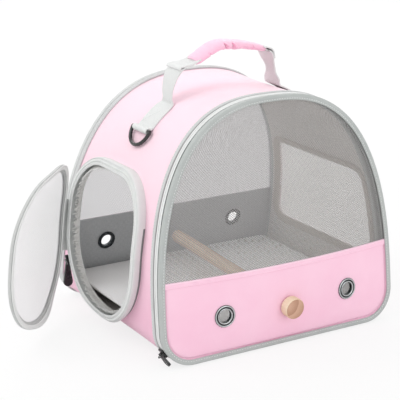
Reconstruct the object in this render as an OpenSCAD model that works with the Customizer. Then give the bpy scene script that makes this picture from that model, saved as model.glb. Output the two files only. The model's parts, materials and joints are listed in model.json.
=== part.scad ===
// Dome bird travel carrier: a zipped soft shell on two hoops, with a mesh front that
// carries the perch, a round side door on a collar and a padded top handle.
// Frame: +Z up, the front faces -Y, the side door is at -X, origin on the ground
// at the middle of the base.

/* [Shell] */
// Width over the rims
body_w = 320; // [280:1:360]
// Height of the shell over the rims, without the handle
body_h = 289; // [265:1:310]
// Depth of the shell at the ground
body_d = 276; // [262:1:300]
// Height where the sides turn into the dome
dome_start = 42; // [40:1:50]
// Squareness of the dome, 2 is an ellipse
dome_power = 2.57; // [2.3:0.01:2.9]
// Radius of the two bottom corners of an arch
corner_r = 40; // [30:1:40]
// Backward lean of the front, mm per mm of height
front_lean = 0.102; // [0.06:0.002:0.13]
// Forward lean of the back, mm per mm of height
back_lean = 0.188; // [0.12:0.002:0.2]

/* [Layers] */
// How far rims and bindings stand over the cover
rim_proud = 2.2; // [1.6:0.1:3]
// Thickness of the outer cover
cover_t = 1.2; // [0.8:0.1:1.6]
// Thickness of the foam under the cover
foam_t = 3; // [2:0.5:4]
// Thickness of the lining
lining_t = 0.8; // [0.6:0.1:1.2]
// Thickness of mesh cloth
mesh_t = 1; // [0.8:0.1:1.4]

/* [Rims] */
// Width of the zip tape behind the front panel
zip_tape_w = 9.5; // [8:0.5:12]
// Width of the tape that edges the cover
rim_tape_w = 6.5; // [5:0.5:8]
// Width of a panel binding, seen from the front
binding_w = 7; // [6:0.5:9]
// Thickness of a panel binding, front to back
binding_t = 6.6; // [5.5:0.1:8]
// Width of the zip chain
chain_w = 4; // [3:0.5:5]
// Diameter of the spring wire in each hoop
hoop_d = 2.4; // [1.6:0.2:2.6]

/* [Front panel] */
// Height of the top edge of the lower cover, front
panel_top = 98; // [85:1:110]
// How far the front panel bulges at its middle
bulge = 12; // [6:1:16]
// Height of the folded hem on the panel's top edge
hem_h = 6; // [4:0.5:9]
// Sideways place of the knob and of the middle between the eyelets
panel_shift = 4; // [0:1:6]
// Half the distance between the front eyelets
eyelet_x = 85; // [70:1:95]
// Height of the front eyelets
eyelet_z = 51; // [45:1:58]

/* [Eyelets] */
// Outer diameter of an eyelet's flange
eyelet_d = 26; // [24:0.5:28]
// Clear bore of an eyelet
eyelet_bore = 15; // [12:0.5:17]
// Thickness of an eyelet's flange
eyelet_flange = 1.6; // [1.2:0.1:2]

/* [Perch] */
// Height of the knob's axis
perch_z = 48; // [46:1:54]
// Diameter of the perch dowel
perch_d = 16; // [12:0.5:20]
// Length of the perch dowel
perch_l = 254; // [120:1:256]
// Angle by which the perch rises towards the back
perch_rise = 2.5; // [0:0.5:3]
// Diameter of the wooden knob
knob_d = 25; // [20:0.5:30]
// Length of the wooden knob
knob_l = 12; // [9:0.5:18]
// Diameter of the hanger bolt
bolt_d = 6; // [5:0.5:8]

/* [Back panel] */
// Height of the top edge of the lower cover, back
back_top = 101; // [90:1:125]
// Half the distance between the back eyelets
back_eyelet_x = 95; // [70:1:100]
// Height of the back eyelets
back_eyelet_z = 68; // [50:1:80]

/* [Side door] */
// Width of the door collar
door_w = 172; // [150:1:176]
// Height of the door collar
door_h = 188; // [180:1:192]
// Height of the collar's lowest point
door_z = 17; // [16:1:22]
// Corner radius at the top of the door
door_top_r = 62; // [40:1:70]
// How far the collar stands out of the side
collar_h = 12; // [9:0.5:14]
// Width of the collar's rim
collar_rim = 9; // [8:0.5:11]
// Thickness of the door's edging
door_edge_t = 5.5; // [5:0.5:7]
// Angle at which the door stands open
door_open = 45; // [0:1:120]

/* [Side window] */
// Distance of the mesh window's front edge behind the front rim
window_front = 26; // [25:1:40]
// Distance of the mesh window's back edge before the back rim
window_back = 21.5; // [21:0.5:40]
// Height of its lower edge
window_z = 69; // [62:1:80]
// Height of the window
window_h = 108; // [80:1:110]
// Corner radius of the window
window_r = 14; // [10:1:30]

/* [Floor board] */
// Height of the floor board's top
board_z = 34; // [28:1:36]
// Thickness of the floor board
board_t = 3.5; // [3:0.5:5]
// Play between the floor board and the walls
board_play = 3; // [2:0.5:6]

/* [Handle] */
// Width of the webbing
webbing_w = 32; // [25:1:38]
// Thickness of the webbing
webbing_t = 1.8; // [1.4:0.1:2.2]
// Length of the padded grip, end to end
grip_l = 92; // [84:1:100]
// Height of the grip's middle over the top of the shell
grip_up = 41; // [35:1:47]
// Rise of the grip from its ends to its middle
grip_rise = 13; // [8:1:14]
// Thickness of the padded grip
grip_t = 13; // [9:0.5:16]
// Distance between the handle's two feet
handle_span = 136; // [128:1:144]
// Diameter of the wire of the side rings
ring_wire = 4.4; // [3.5:0.1:5]

/* [Hidden] */

pink = "#F9CBE0";
grey = "#D9DDDB";
dark_grey = "#8A8A8A";
mesh_grey = "#BDBDBD";
steel = "#8C8F92";
black = "#26292A";
wood = "#DDBE93";

far = 600;
half_w = body_w / 2;
seat_gap = 0.3;
touch_gap = 0.1;
fit = 0.05;
cut = 1;
over_top = 40;
arch_steps = 56;
corner_steps = 8;
arc_step = 7.5;

// Layer depths, measured inwards from the outermost rim surface
cover_in = rim_proud;
foam_in = cover_in + cover_t;
lining_in = foam_in + foam_t;
shell_in = lining_in + lining_t;

// Places along the depth, measured from the front plane and from the back plane
binding_front = -2;
binding_back = binding_t + binding_front + touch_gap;
zip_from = binding_back + seat_gap;
zip_to = zip_from + zip_tape_w;
rim_lap = 1;
rim_from = zip_to - rim_lap;
rim_to = rim_from + rim_tape_w;

// One point of an arch at inset t: a superellipse over two straight sides
function arch_half(t) = half_w - t;
function arch_rise(t) = body_h - t - dome_start;
function sign_power(v, p) = sign(v) * pow(abs(v), p);
function dome_points(t) = [for (i = [0:arch_steps]) let(a = 180 * i / arch_steps)
    [arch_half(t) * sign_power(cos(a), 2 / dome_power),
     dome_start + arch_rise(t) * pow(max(sin(a), 0), 2 / dome_power)]];
function corner_points(t, side, from, to) = [for (i = [0:corner_steps])
    let(a = from + (to - from) * i / corner_steps)
    [side * (half_w - corner_r) + (corner_r - t) * cos(a), corner_r + (corner_r - t) * sin(a)]];
function arch_points(t) = concat(corner_points(t, 1, -90, 0), dome_points(t),
                                 corner_points(t, -1, 180, 270));

// Half width of an arch at height z and inset t
function arch_width(z, t) = z > dome_start
    ? arch_half(t) * pow(max(0, 1 - pow((z - dome_start) / arch_rise(t), dome_power)),
                         1 / dome_power)
    : z > corner_r ? arch_half(t)
    : half_w - corner_r + sqrt(max(0, pow(corner_r - t, 2) - pow(corner_r - z, 2)));

// Height of an arch's outer line at x and inset t
function arch_height(x, t) = dome_start
    + arch_rise(t) * pow(1 - pow(abs(x) / arch_half(t), dome_power), 1 / dome_power);

// Y of the front and of the back plane at height z
function front_y(z) = -body_d / 2 + front_lean * z;
function back_y(z) = body_d / 2 - back_lean * z;

// The bulge of the front panel: none at the binding, most at the cover's top edge
panel_edge = binding_w + 1;
function bulge_ramp(z) = z >= panel_top ? 1
    : sin(90 * sqrt(max(0, z - panel_edge) / (panel_top - panel_edge)));
function rim_share(x, z) = z > dome_start
    ? pow(pow(abs(x) / arch_half(panel_edge), dome_power)
          + pow((z - dome_start) / arch_rise(panel_edge), dome_power), 1 / dome_power)
    : abs(x) / max(1, arch_width(z, panel_edge));
function panel_y(x, z) = front_y(z)
    - bulge * max(0, 1 - pow(rim_share(x, z), 2)) * bulge_ramp(z);

// Turn of the panel's outward normal at a point: up and sideways
function panel_pitch(x, z) = atan((panel_y(x, z + 1) - panel_y(x, z - 1)) / 2);
function panel_yaw(x, z) = atan((panel_y(x + 1, z) - panel_y(x - 1, z)) / 2);

// A prism through the whole depth with the arch's outline
module arch_prism(t) {
    rotate([90, 0, 0]) linear_extrude(height = far, center = true) polygon(arch_points(t));
}

// The space between two leaning planes, given from the front plane and the back plane
module depth_slab(front_from, back_to) {
    low = -cut;
    high = body_h + over_top;
    rotate([90, 0, 90]) linear_extrude(height = far, center = true) polygon([
        [front_y(low) + front_from, low], [back_y(low) + back_to, low],
        [back_y(high) + back_to, high], [front_y(high) + front_from, high]]);
}

// A slice that follows the front plane, from one depth to another
module front_slice(from, to) {
    low = -cut;
    high = body_h + over_top;
    rotate([90, 0, 90]) linear_extrude(height = far, center = true) polygon([
        [front_y(low) + from, low], [front_y(low) + to, low],
        [front_y(high) + to, high], [front_y(high) + from, high]]);
}

// A slice that follows the back plane, measured inwards
module back_slice(from, to) {
    low = -cut;
    high = body_h + over_top;
    rotate([90, 0, 90]) linear_extrude(height = far, center = true) polygon([
        [back_y(low) - to, low], [back_y(low) - from, low],
        [back_y(high) - from, high], [back_y(high) - to, high]]);
}

// A band round the arch, between two insets
module arch_ring(outer, inner) {
    difference() {
        arch_prism(outer);
        arch_prism(inner);
    }
}

module front_ring(outer, inner, from, to) {
    intersection() {
        arch_ring(outer, inner);
        front_slice(from, to);
    }
}

module back_ring(outer, inner, from, to) {
    intersection() {
        arch_ring(outer, inner);
        back_slice(from, to);
    }
}

// Outline of the side door at an inset, as [y, z] with round lower half
function arc_points(cy, cz, r, from, to) =
    let(steps = ceil(abs(to - from) / arc_step))
    [for (i = [0:steps]) let(a = from + (to - from) * i / steps)
        [cy + r * cos(a), cz + r * sin(a)]];
door_low_r = door_w / 2;
door_mid_z = door_z + door_low_r;
function door_outline(t) = concat(
    arc_points(0, door_mid_z, door_low_r - t, 180, 360),
    arc_points(door_w / 2 - door_top_r, door_z + door_h - door_top_r, door_top_r - t, 0, 90),
    arc_points(door_top_r - door_w / 2, door_z + door_h - door_top_r, door_top_r - t, 90, 180));

// A prism along X on the given side, with an outline in Y and Z
module side_prism(points, side) {
    translate([side > 0 ? half_w / 2 : -half_w * 1.5, 0, 0])
        rotate([90, 0, 90]) linear_extrude(height = half_w) polygon(points);
}

// The window's front and back edges lean with the rims
front_angle = atan(front_lean);
back_angle = atan(back_lean);
function window_front_y(z) = front_y(z) + window_front + window_r / cos(front_angle);
function window_back_y(z) = back_y(z) - window_back - window_r / cos(back_angle);
function window_outline(t) =
    let(r = window_r, low = window_z + r, high = window_z + window_h - r)
    concat(arc_points(window_front_y(low), low, r - t, 180 - front_angle, 270),
           arc_points(window_back_y(low), low, r - t, 270, 360 + back_angle),
           arc_points(window_back_y(high), high, r - t, back_angle, 90),
           arc_points(window_front_y(high), high, r - t, 90, 180 - front_angle));

// A closed sheet over the front panel, between two heights and two depths behind its face
sheet_cols = 20;
function even_rows(low, high, count) = [for (j = [0:count]) low + (high - low) * j / count];
function dome_rows(low, high, count) = [for (j = [0:count])
    low + (high - low) * sin(90 * j / count)];
function sheet_layer(zs, edge, depth) = [for (z = zs, i = [0:sheet_cols])
    let(w = arch_width(z, edge), x = w * sin(180 * (i / sheet_cols - 0.5)))
    [x, panel_y(x, z) + depth, z]];
function cell(a, b, c, d) = [[a, b, c], [a, c, d]];
module sheet(zs, edge, from, to) {
    count = len(zs) - 1;
    n = sheet_cols + 1;
    m = count + 1;
    points = concat(sheet_layer(zs, edge, from), sheet_layer(zs, edge, to));
    front = [for (j = [0:count - 1], i = [0:sheet_cols - 1])
        each cell(j * n + i, (j + 1) * n + i, (j + 1) * n + i + 1, j * n + i + 1)];
    back = [for (j = [0:count - 1], i = [0:sheet_cols - 1]) let(o = n * m)
        each cell(o + j * n + i, o + j * n + i + 1, o + (j + 1) * n + i + 1, o + (j + 1) * n + i)];
    ends = [for (i = [0:sheet_cols - 1]) let(o = n * m, t = count * n)
        each concat(cell(i, i + 1, o + i + 1, o + i),
                    cell(t + i, o + t + i, o + t + i + 1, t + i + 1))];
    sides = [for (j = [0:count - 1]) let(o = n * m, a = j * n, b = (j + 1) * n, e = sheet_cols)
        each concat(cell(a, o + a, o + b, b), cell(a + e, b + e, o + b + e, o + a + e))];
    polyhedron(points, concat(front, back, ends, sides));
}

// Local frame on the front panel: Z points out of the panel
module on_panel(x, z) {
    translate([x, panel_y(x, z), z]) rotate([90 - panel_pitch(x, z), 0, panel_yaw(x, z)])
        children();
}

// Local frame on the back panel: Z points out of the back
module on_back(x, z) {
    translate([x, back_y(z), z]) rotate([back_angle - 90, 0, 0]) children();
}

// The part of an arch piece between two heights
module height_band(low, high) {
    translate([-far / 2, -far / 2, low]) cube([far, far, high - low]);
}

// The shell's length between the zip at the front and the binding at the back
module shell_layer(outer, inner) {
    intersection() {
        arch_ring(outer, inner);
        depth_slab(zip_to, -binding_back);
    }
}

base_half = half_w - corner_r;
module base_span(width) {
    translate([-width, -far / 2, -cut]) cube([2 * width, far, corner_r]);
}

collar_wall = 3.5;
hole_inset = 2.5;
module wall_openings() {
    side_prism(door_outline(hole_inset), -1);
    side_prism(window_outline(0), 1);
}

module gusset() {
    color(pink) difference() {
        shell_layer(cover_in, foam_in);
        wall_openings();
        base_span(base_half);
    }
}

hoop_front = zip_to + 2;
hoop_back = binding_back + 2;
module hoop_front_ring() {
    front_ring(foam_in, foam_in + hoop_d, hoop_front, hoop_front + hoop_d);
}
module hoop_back_ring() {
    back_ring(foam_in, foam_in + hoop_d, hoop_back, hoop_back + hoop_d);
}

module gusset_foam() {
    color("white") difference() {
        shell_layer(foam_in, lining_in);
        wall_openings();
        base_span(base_half);
        hoop_front_ring();
        hoop_back_ring();
    }
}

module gusset_lining() {
    color(dark_grey) difference() {
        shell_layer(lining_in, shell_in);
        wall_openings();
        base_span(base_half);
    }
}

// The rim tapes press their seams a little way into the base
seam_press = 0.2;
module base_cover() {
    color(pink) difference() {
        intersection() {
            shell_layer(cover_in, foam_in);
            base_span(base_half);
        }
        front_ring(cover_in - cut, cover_in + seam_press, rim_from, rim_to + seat_gap);
        back_ring(cover_in - cut, cover_in + seam_press, binding_back,
                  back_rim_to + seat_gap);
    }
}

module base_board() {
    color("white") difference() {
        intersection() {
            shell_layer(foam_in, lining_in);
            base_span(base_half);
        }
        hoop_front_ring();
        hoop_back_ring();
    }
}

module base_lining() {
    color(dark_grey) intersection() {
        shell_layer(lining_in, shell_in);
        base_span(base_half);
    }
}

module front_hoop() {
    color(steel) hoop_front_ring();
}

module back_hoop() {
    color(steel) hoop_back_ring();
}

// The tape that edges the cover beside the zip
module front_rim_tape() {
    color(grey) front_ring(0, cover_in, rim_from, rim_to);
}

// Zip tape with its chain, between the cover and the front panel
zip_tape_t = 2;
chain_up = 1.4;
chain_from = zip_from + (zip_tape_w - chain_w) / 2;
module front_zip() {
    color(grey) union() {
        front_ring(cover_in, cover_in + zip_tape_t, zip_from, zip_to);
        front_ring(cover_in - chain_up, cover_in, chain_from, chain_from + chain_w);
    }
}

// Bindings that fold round the edges of the front panel and of the back panel
binding_edge = 0.4;
sheet_edge = 4.2;
groove_edge = sheet_edge - 0.6;
panel_stack = cover_t + lining_t;
module front_binding() {
    color(grey) difference() {
        front_ring(binding_edge, binding_w, binding_front, binding_back);
        front_ring(groove_edge, binding_w + cut, -seat_gap, panel_stack + seat_gap);
    }
}

module back_binding() {
    color(grey) difference() {
        back_ring(binding_edge, binding_w, binding_front, binding_back);
        back_ring(groove_edge, binding_w + cut, 0, panel_stack);
    }
}

back_rim_from = binding_back + 2 * seat_gap;
back_rim_to = back_rim_from + rim_tape_w + 1.4;
module back_rim_tape() {
    color(grey) back_ring(0, cover_in, back_rim_from, back_rim_to);
}

// Flat sheets of the back panel
module back_sheet(from, to, low, high) {
    intersection() {
        arch_prism(groove_edge);
        back_slice(from, to);
        height_band(low, high);
    }
}

// Holes for the eyelets through a panel
hole_r = eyelet_bore / 2 + 1.1;
hole_l = 20;
module eyelet_holes_back() {
    for (side = [-1, 1]) on_back(side * back_eyelet_x, back_eyelet_z)
        cylinder(r = hole_r, h = hole_l, center = true, $fn = 48);
}

module back_cover() {
    color(pink) difference() {
        back_sheet(0, cover_t, 0, back_top);
        eyelet_holes_back();
    }
}

module back_lining() {
    color(dark_grey) difference() {
        back_sheet(cover_t, panel_stack, 0, back_top);
        eyelet_holes_back();
    }
}

module back_mesh() {
    color(mesh_grey) back_sheet(0, mesh_t, back_top, body_h);
}

hem_t = 0.8;
hem_gap = 0.15;
module back_hem() {
    color(pink) intersection() {
        arch_prism(binding_w + seat_gap);
        back_slice(-hem_t, 0);
        height_band(back_top - hem_h, back_top);
    }
}

// One eyelet: a crowned flange on a barrel, in the panel's local frame
barrel_wall = 0.8;
washer_t = 1.2;
washer_gap = 0.5;
washer_from = -panel_stack - washer_gap - washer_t;
module eyelet() {
    r = eyelet_bore / 2;
    outer = eyelet_d / 2;
    low = washer_from - touch_gap;
    rotate_extrude($fn = 64) polygon([
        [r, low], [r + barrel_wall, low], [r + barrel_wall, touch_gap], [outer, touch_gap],
        [outer, eyelet_flange * 0.36], [outer - 0.7, eyelet_flange * 0.8],
        [outer - 2, eyelet_flange], [r + 1.4, eyelet_flange], [r + 0.4, eyelet_flange * 0.7],
        [r, eyelet_flange * 0.3]]);
}

module eyelet_washer() {
    r = eyelet_bore / 2 + barrel_wall + fit;
    translate([0, 0, washer_from]) difference() {
        cylinder(r = eyelet_d / 2 - 1, h = washer_t, $fn = 48);
        translate([0, 0, -cut]) cylinder(r = r, h = washer_t + 2 * cut, $fn = 48);
    }
}

module back_eyelets() {
    color(steel) for (side = [-1, 1]) on_back(side * back_eyelet_x, back_eyelet_z) eyelet();
}

module back_eyelet_washers() {
    color(steel) for (side = [-1, 1]) on_back(side * back_eyelet_x, back_eyelet_z)
        eyelet_washer();
}

module front_eyelets() {
    color(steel) for (side = [-1, 1]) on_panel(panel_shift + side * eyelet_x, eyelet_z)
        eyelet();
}

module front_eyelet_washers() {
    color(steel) for (side = [-1, 1]) on_panel(panel_shift + side * eyelet_x, eyelet_z)
        eyelet_washer();
}

// Holes for the eyelets and the perch bolt through the front panel
module front_holes() {
    for (side = [-1, 1]) on_panel(panel_shift + side * eyelet_x, eyelet_z)
        cylinder(r = hole_r, h = hole_l, center = true, $fn = 48);
    on_panel(panel_shift, perch_z)
        cylinder(r = bolt_d / 2 + 2 * seat_gap, h = hole_l, center = true, $fn = 48);
}

sheet_low = 5;
low_rows = 7;
mesh_rows = 14;
lower_sheet = concat([sheet_low], even_rows(panel_edge, panel_top, low_rows));
module front_cover() {
    color(pink) difference() {
        sheet(lower_sheet, sheet_edge, 0, cover_t);
        front_holes();
    }
}

module front_lining() {
    color(dark_grey) difference() {
        sheet(lower_sheet, sheet_edge, cover_t, panel_stack);
        front_holes();
    }
}

module front_mesh() {
    crown = body_h - sheet_edge - 1.5;
    color(mesh_grey)
        sheet(dome_rows(panel_top, crown, mesh_rows), sheet_edge, touch_gap, mesh_t);
}

module front_hem() {
    color(pink)
        sheet([panel_top - hem_h, panel_top], binding_w + seat_gap, -hem_t, -hem_gap);
}

// Perch, bolt, washer and knob share one axis out of the front panel
perch_tilt = perch_rise + panel_pitch(panel_shift, perch_z);
module on_perch_axis() {
    on_panel(panel_shift, perch_z) rotate([perch_tilt, 0, 0]) children();
}

washer_d = perch_d + 2;
knob_from = seat_gap + knob_d / 2 * sin(perch_tilt);
perch_from = -panel_stack - seat_gap - washer_d / 2 * sin(perch_tilt) - washer_t;
bolt_in = 22;
bolt_out = 9.5;
module perch() {
    bevel = 1.5;
    color(wood) on_perch_axis() translate([0, 0, perch_from]) difference() {
        rotate_extrude($fn = 64) polygon([[0, 0], [perch_d / 2, 0],
            [perch_d / 2, -perch_l + bevel], [perch_d / 2 - bevel, -perch_l], [0, -perch_l]]);
        translate([0, 0, -bolt_in]) cylinder(d = bolt_d, h = bolt_in + cut, $fn = 48);
    }
}

module perch_bolt() {
    color(steel) on_perch_axis() translate([0, 0, perch_from - bolt_in])
        cylinder(d = bolt_d, h = bolt_in - perch_from + bolt_out, $fn = 48);
}

module perch_washer() {
    color(steel) on_perch_axis() translate([0, 0, perch_from]) difference() {
        cylinder(d = washer_d, h = washer_t, $fn = 48);
        translate([0, 0, -cut])
            cylinder(d = bolt_d + 0.2, h = washer_t + 2 * cut, $fn = 48);
    }
}

insert_d = 10;
insert_l = bolt_out + seat_gap;
module perch_knob() {
    r = knob_d / 2;
    bevel = 1.2;
    color(wood) on_perch_axis() translate([0, 0, knob_from]) difference() {
        rotate_extrude($fn = 72) polygon([[0, 0], [r - bevel, 0], [r, bevel],
            [r, knob_l - bevel], [r - bevel / 3, knob_l - bevel / 3], [r - bevel, knob_l],
            [0, knob_l]]);
        translate([0, 0, -cut]) cylinder(d = insert_d, h = insert_l + cut, $fn = 48);
    }
}

module knob_insert() {
    color(steel) on_perch_axis() translate([0, 0, knob_from]) difference() {
        cylinder(d = insert_d, h = insert_l, $fn = 48);
        translate([0, 0, -cut])
            cylinder(d = bolt_d + 2 * fit, h = insert_l + 2 * cut, $fn = 48);
    }
}

// Side door: a collar on the left side, its zip chain and the hinged door
collar_face = cover_in - collar_h;
rim_t = 1.8;
module side_ring(outer, inner, face, back) {
    intersection() {
        difference() {
            side_prism(door_outline(outer), -1);
            side_prism(door_outline(inner), -1);
        }
        arch_ring(face, back);
    }
}

module door_collar() {
    color(grey) union() {
        side_ring(0, collar_wall, collar_face, cover_in);
        side_ring(hole_inset, collar_wall, collar_face, shell_in);
        side_ring(0, collar_rim, collar_face, collar_face + rim_t);
    }
}

door_chain_t = 0.8;
module door_zip() {
    color(grey) side_ring(2, 5, collar_face - door_chain_t, collar_face);
}

// Hinge line of the door: behind the collar's back edge, leaning with the open door's weight
door_face = collar_face - door_chain_t - seat_gap;
door_tape_t = 1.5;
door_back = door_face - door_edge_t;
hinge_x = -half_w + collar_face;
hinge_r = 0.9;
hinge_y = door_w / 2 + hinge_r + touch_gap;
hinge_z = door_z + door_h / 2 + 4;
hinge_lean = 0.055;
hinge_axis = [-hinge_lean, 0, 1];
module door_pose() {
    translate([hinge_x, hinge_y, hinge_z]) rotate(a = -door_open, v = hinge_axis)
        translate([-hinge_x, -hinge_y, -hinge_z]) children();
}

module door_tape() {
    color(grey) door_pose() side_ring(0.5, 6, door_face - door_tape_t, door_face);
}

mesh_mid = door_face - door_tape_t - 1.2;
module door_binding() {
    color(grey) door_pose() difference() {
        side_ring(0, collar_rim, door_back, door_face - door_tape_t);
        side_ring(groove_edge, collar_rim + cut, mesh_mid - mesh_t, mesh_mid);
    }
}

module door_mesh() {
    color(mesh_grey) door_pose() intersection() {
        side_prism(door_outline(groove_edge), -1);
        arch_ring(mesh_mid - mesh_t, mesh_mid);
    }
}

// Folded tape that joins the door to the collar: a strip on the door's edge and its round fold
hinge_low = 84;
hinge_high = 130;
hinge_tape_t = 0.8;
module door_hinge_tape() {
    color(grey) door_pose() union() {
        intersection() {
            side_ring(-hinge_tape_t, 0, door_back, collar_face - 2 * touch_gap);
            height_band(hinge_low, hinge_high);
            translate([-far / 2, 0, 0]) cube([far, far, far]);
        }
        translate([hinge_x, hinge_y, hinge_z])
            rotate([0, -atan(hinge_lean), 0]) translate([0, 0, hinge_low - hinge_z])
            cylinder(r = hinge_r, h = hinge_high - hinge_low, $fn = 32);
    }
}

// Window in the right side, with a binding on its edge
window_mesh_in = foam_in + 0.4;
module window_mesh() {
    color(mesh_grey) intersection() {
        side_prism(window_outline(0), 1);
        arch_ring(window_mesh_in, window_mesh_in + mesh_t);
    }
}

window_tape_w = 7;
module window_binding() {
    color(grey) intersection() {
        difference() {
            side_prism(window_outline(-window_tape_w), 1);
            side_prism(window_outline(1.5), 1);
        }
        arch_ring(shell_in, shell_in + hem_t);
    }
}

// Floor board on two folded legs, one along the front and one along the back
module floor_board() {
    leg_t = board_t;
    base_z = shell_in;
    front = zip_to + board_play;
    back = -binding_back - board_play;
    half = arch_width(board_z, shell_in) - board_play - 5;
    chamfer = 10;
    color(mesh_grey) union() {
        intersection() {
            depth_slab(front, back);
            translate([0, 0, board_z - board_t]) linear_extrude(height = board_t)
                polygon([[-half, front_y(0) + chamfer * 2 + front],
                         [-half + chamfer, front_y(0)], [half - chamfer, front_y(0)],
                         [half, front_y(0) + chamfer * 2 + front],
                         [half, back_y(0) - chamfer * 2],
                         [half - chamfer, back_y(0)], [-half + chamfer, back_y(0)],
                         [-half, back_y(0) - chamfer * 2]]);
        }
        intersection() {
            difference() {
                depth_slab(front, back);
                depth_slab(front + leg_t, back - leg_t);
            }
            translate([-base_half + chamfer, -far / 2, base_z])
                cube([2 * (base_half - chamfer), far, board_z - board_t - base_z]);
        }
    }
}

// Handle: webbing feet on the dome, a padded grip and the narrower fold of webbing inside it
handle_shift = -5;
function leg_x(side) = handle_shift + side * handle_span / 2;
function leg_z(side) = arch_height(abs(leg_x(side)), cover_in - webbing_t) + tip_r + tip_room;
tip_r = 4;
tip_room = 0.15;
taper_h = 16.5;
handle_y = (front_y(leg_z(-1)) + back_y(leg_z(-1))) / 2;
grip_z = body_h + grip_up;
grip_r = (pow(grip_l / 2, 2) + pow(grip_rise, 2)) / (2 * grip_rise);
grip_half = asin(grip_l / 2 / grip_r);
knee_in = 6;
knee_down = 24;
function knee_x(side) = leg_x(side) - side * knee_in;
knee_z = grip_z - knee_down;

// A ribbon of thickness t along points in X and Z, as an outline
function unit(v) = v / norm(v);
function turn(pts, i) = unit(pts[min(i + 1, len(pts) - 1)] - pts[max(i - 1, 0)]);
function side_line(pts, d) = [for (i = [0:len(pts) - 1]) let(u = turn(pts, i))
    pts[i] + d * [-u[1], u[0]]];
function reversed(a) = [for (i = [len(a) - 1:-1:0]) a[i]];
module ribbon(pts, t, w) {
    translate([0, handle_y + w / 2, 0]) rotate([90, 0, 0])
        linear_extrude(height = w)
        polygon(concat(side_line(pts, t / 2), reversed(side_line(pts, -t / 2))));
}

grip_steps = 12;
fold_w = webbing_w - 10;
function grip_point(a) = [grip_r * sin(a), grip_z - grip_r + grip_r * cos(a)];
fold_path = [for (i = [0:grip_steps]) grip_point(grip_half * (2 * i / grip_steps - 1))];
left_leg = [[knee_x(-1), knee_z], grip_point(-grip_half)];
right_leg = [grip_point(grip_half), [knee_x(1), knee_z]];
module handle_webbing() {
    color(grey) union() {
        ribbon(concat([left_leg[0]], fold_path, [right_leg[1]]), webbing_t, fold_w);
        ribbon(left_leg, webbing_t, webbing_w);
        ribbon(right_leg, webbing_t, webbing_w);
    }
}

// A leg of webbing that narrows to its sewn tip, so that the handle can swing over the dome
module handle_foot(side) {
    run = [side * (leg_x(side) - knee_x(side)), knee_z - leg_z(side)];
    half = webbing_w / 2;
    top = norm(run) - webbing_t / 2 + touch_gap;
    color(grey) translate([leg_x(side), handle_y, leg_z(side)])
        rotate([0, -side * atan(run[0] / run[1]), 0]) rotate([90, 0, 90])
        linear_extrude(height = webbing_t, center = true) union() {
            circle(r = tip_r, $fn = 32);
            polygon([[-tip_r, 0], [tip_r, 0], [half, taper_h], [half, top],
                     [-half, top], [-half, taper_h]]);
        }
}
module handle_foot_left() {
    handle_foot(-1);
}
module handle_foot_right() {
    handle_foot(1);
}

// Padded grip: rounded sections that swell towards the middle, with the webbing's slot
grip_w = webbing_w + 2;
grip_sides = 16;
grip_rings = 14;
grip_squareness = 2.8;
grip_share = 0.985;
function grip_section(s, i) = let(a = 360 * i / grip_sides,
        crown = 0.82 + 0.18 * pow(cos(90 * s), 0.6))
    [sign_power(cos(a), 2 / grip_squareness) * grip_w / 2 * crown,
     sign_power(sin(a), 2 / grip_squareness) * grip_t / 2 * crown];
module grip_solid() {
    points = [for (j = [0:grip_rings], i = [0:grip_sides - 1])
        let(s = 2 * j / grip_rings - 1, a = grip_half * s * grip_share,
            c = grip_section(s, i), p = grip_point(a))
        [p[0] + c[1] * sin(a), handle_y + c[0], p[1] + c[1] * cos(a)]];
    n = grip_sides;
    walls = [for (j = [0:grip_rings - 1], i = [0:n - 1]) let(k = (i + 1) % n)
        each cell(j * n + i, (j + 1) * n + i, (j + 1) * n + k, j * n + k)];
    first = [for (i = [1:n - 2]) [0, i, i + 1]];
    last = [for (i = [1:n - 2]) let(o = grip_rings * n) [o, o + i + 1, o + i]];
    polyhedron(points, concat(walls, first, last));
}

module handle_grip() {
    color(pink) difference() {
        grip_solid();
        ribbon(fold_path, webbing_t, fold_w);
    }
}

// Straps on the dome, from the handle's feet down to the side rings
strap_low_x = 112;
strap_high_x = handle_span / 2 - 10;
loop_r = ring_wire / 2 + seat_gap;
loop_wall = 1.5;
loop_in = cover_in - loop_r - loop_wall - seat_gap;
loop_x = strap_low_x + 3;
loop_z = arch_height(loop_x, loop_in);
module strap(side) {
    low = side > 0 ? strap_high_x : -strap_low_x;
    color(grey) difference() {
        union() {
            intersection() {
                arch_ring(cover_in - webbing_t, cover_in);
                translate([low, handle_y - webbing_w / 2, dome_start])
                    cube([strap_low_x - strap_high_x, webbing_w, body_h]);
            }
            translate([side * loop_x, handle_y, loop_z]) rotate([90, 0, 0])
                cylinder(r = loop_r + loop_wall, h = webbing_w, center = true, $fn = 48);
        }
        translate([side * loop_x, handle_y, loop_z]) rotate([90, 0, 0])
            cylinder(r = loop_r, h = webbing_w + 2 * cut, center = true, $fn = 48);
    }
}
module strap_left() {
    strap(-1);
}
module strap_right() {
    strap(1);
}

// Side ring: a bar in the strap's loop and a half round, hanging along the dome
ring_half = webbing_w / 2 + 1.5 + ring_wire / 2;
ring_slope = 60;
module d_ring(side) {
    color(black) translate([side * loop_x, handle_y, loop_z])
        rotate([0, side * ring_slope, 0]) union() {
            rotate([90, 0, 0])
                cylinder(d = ring_wire, h = 2 * ring_half, center = true, $fn = 32);
            rotate([0, 0, side > 0 ? -90 : 90]) rotate_extrude(angle = 180, $fn = 64)
                translate([ring_half, 0]) circle(d = ring_wire, $fn = 32);
        }
}
module d_ring_left() {
    d_ring(-1);
}
module d_ring_right() {
    d_ring(1);
}

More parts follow.
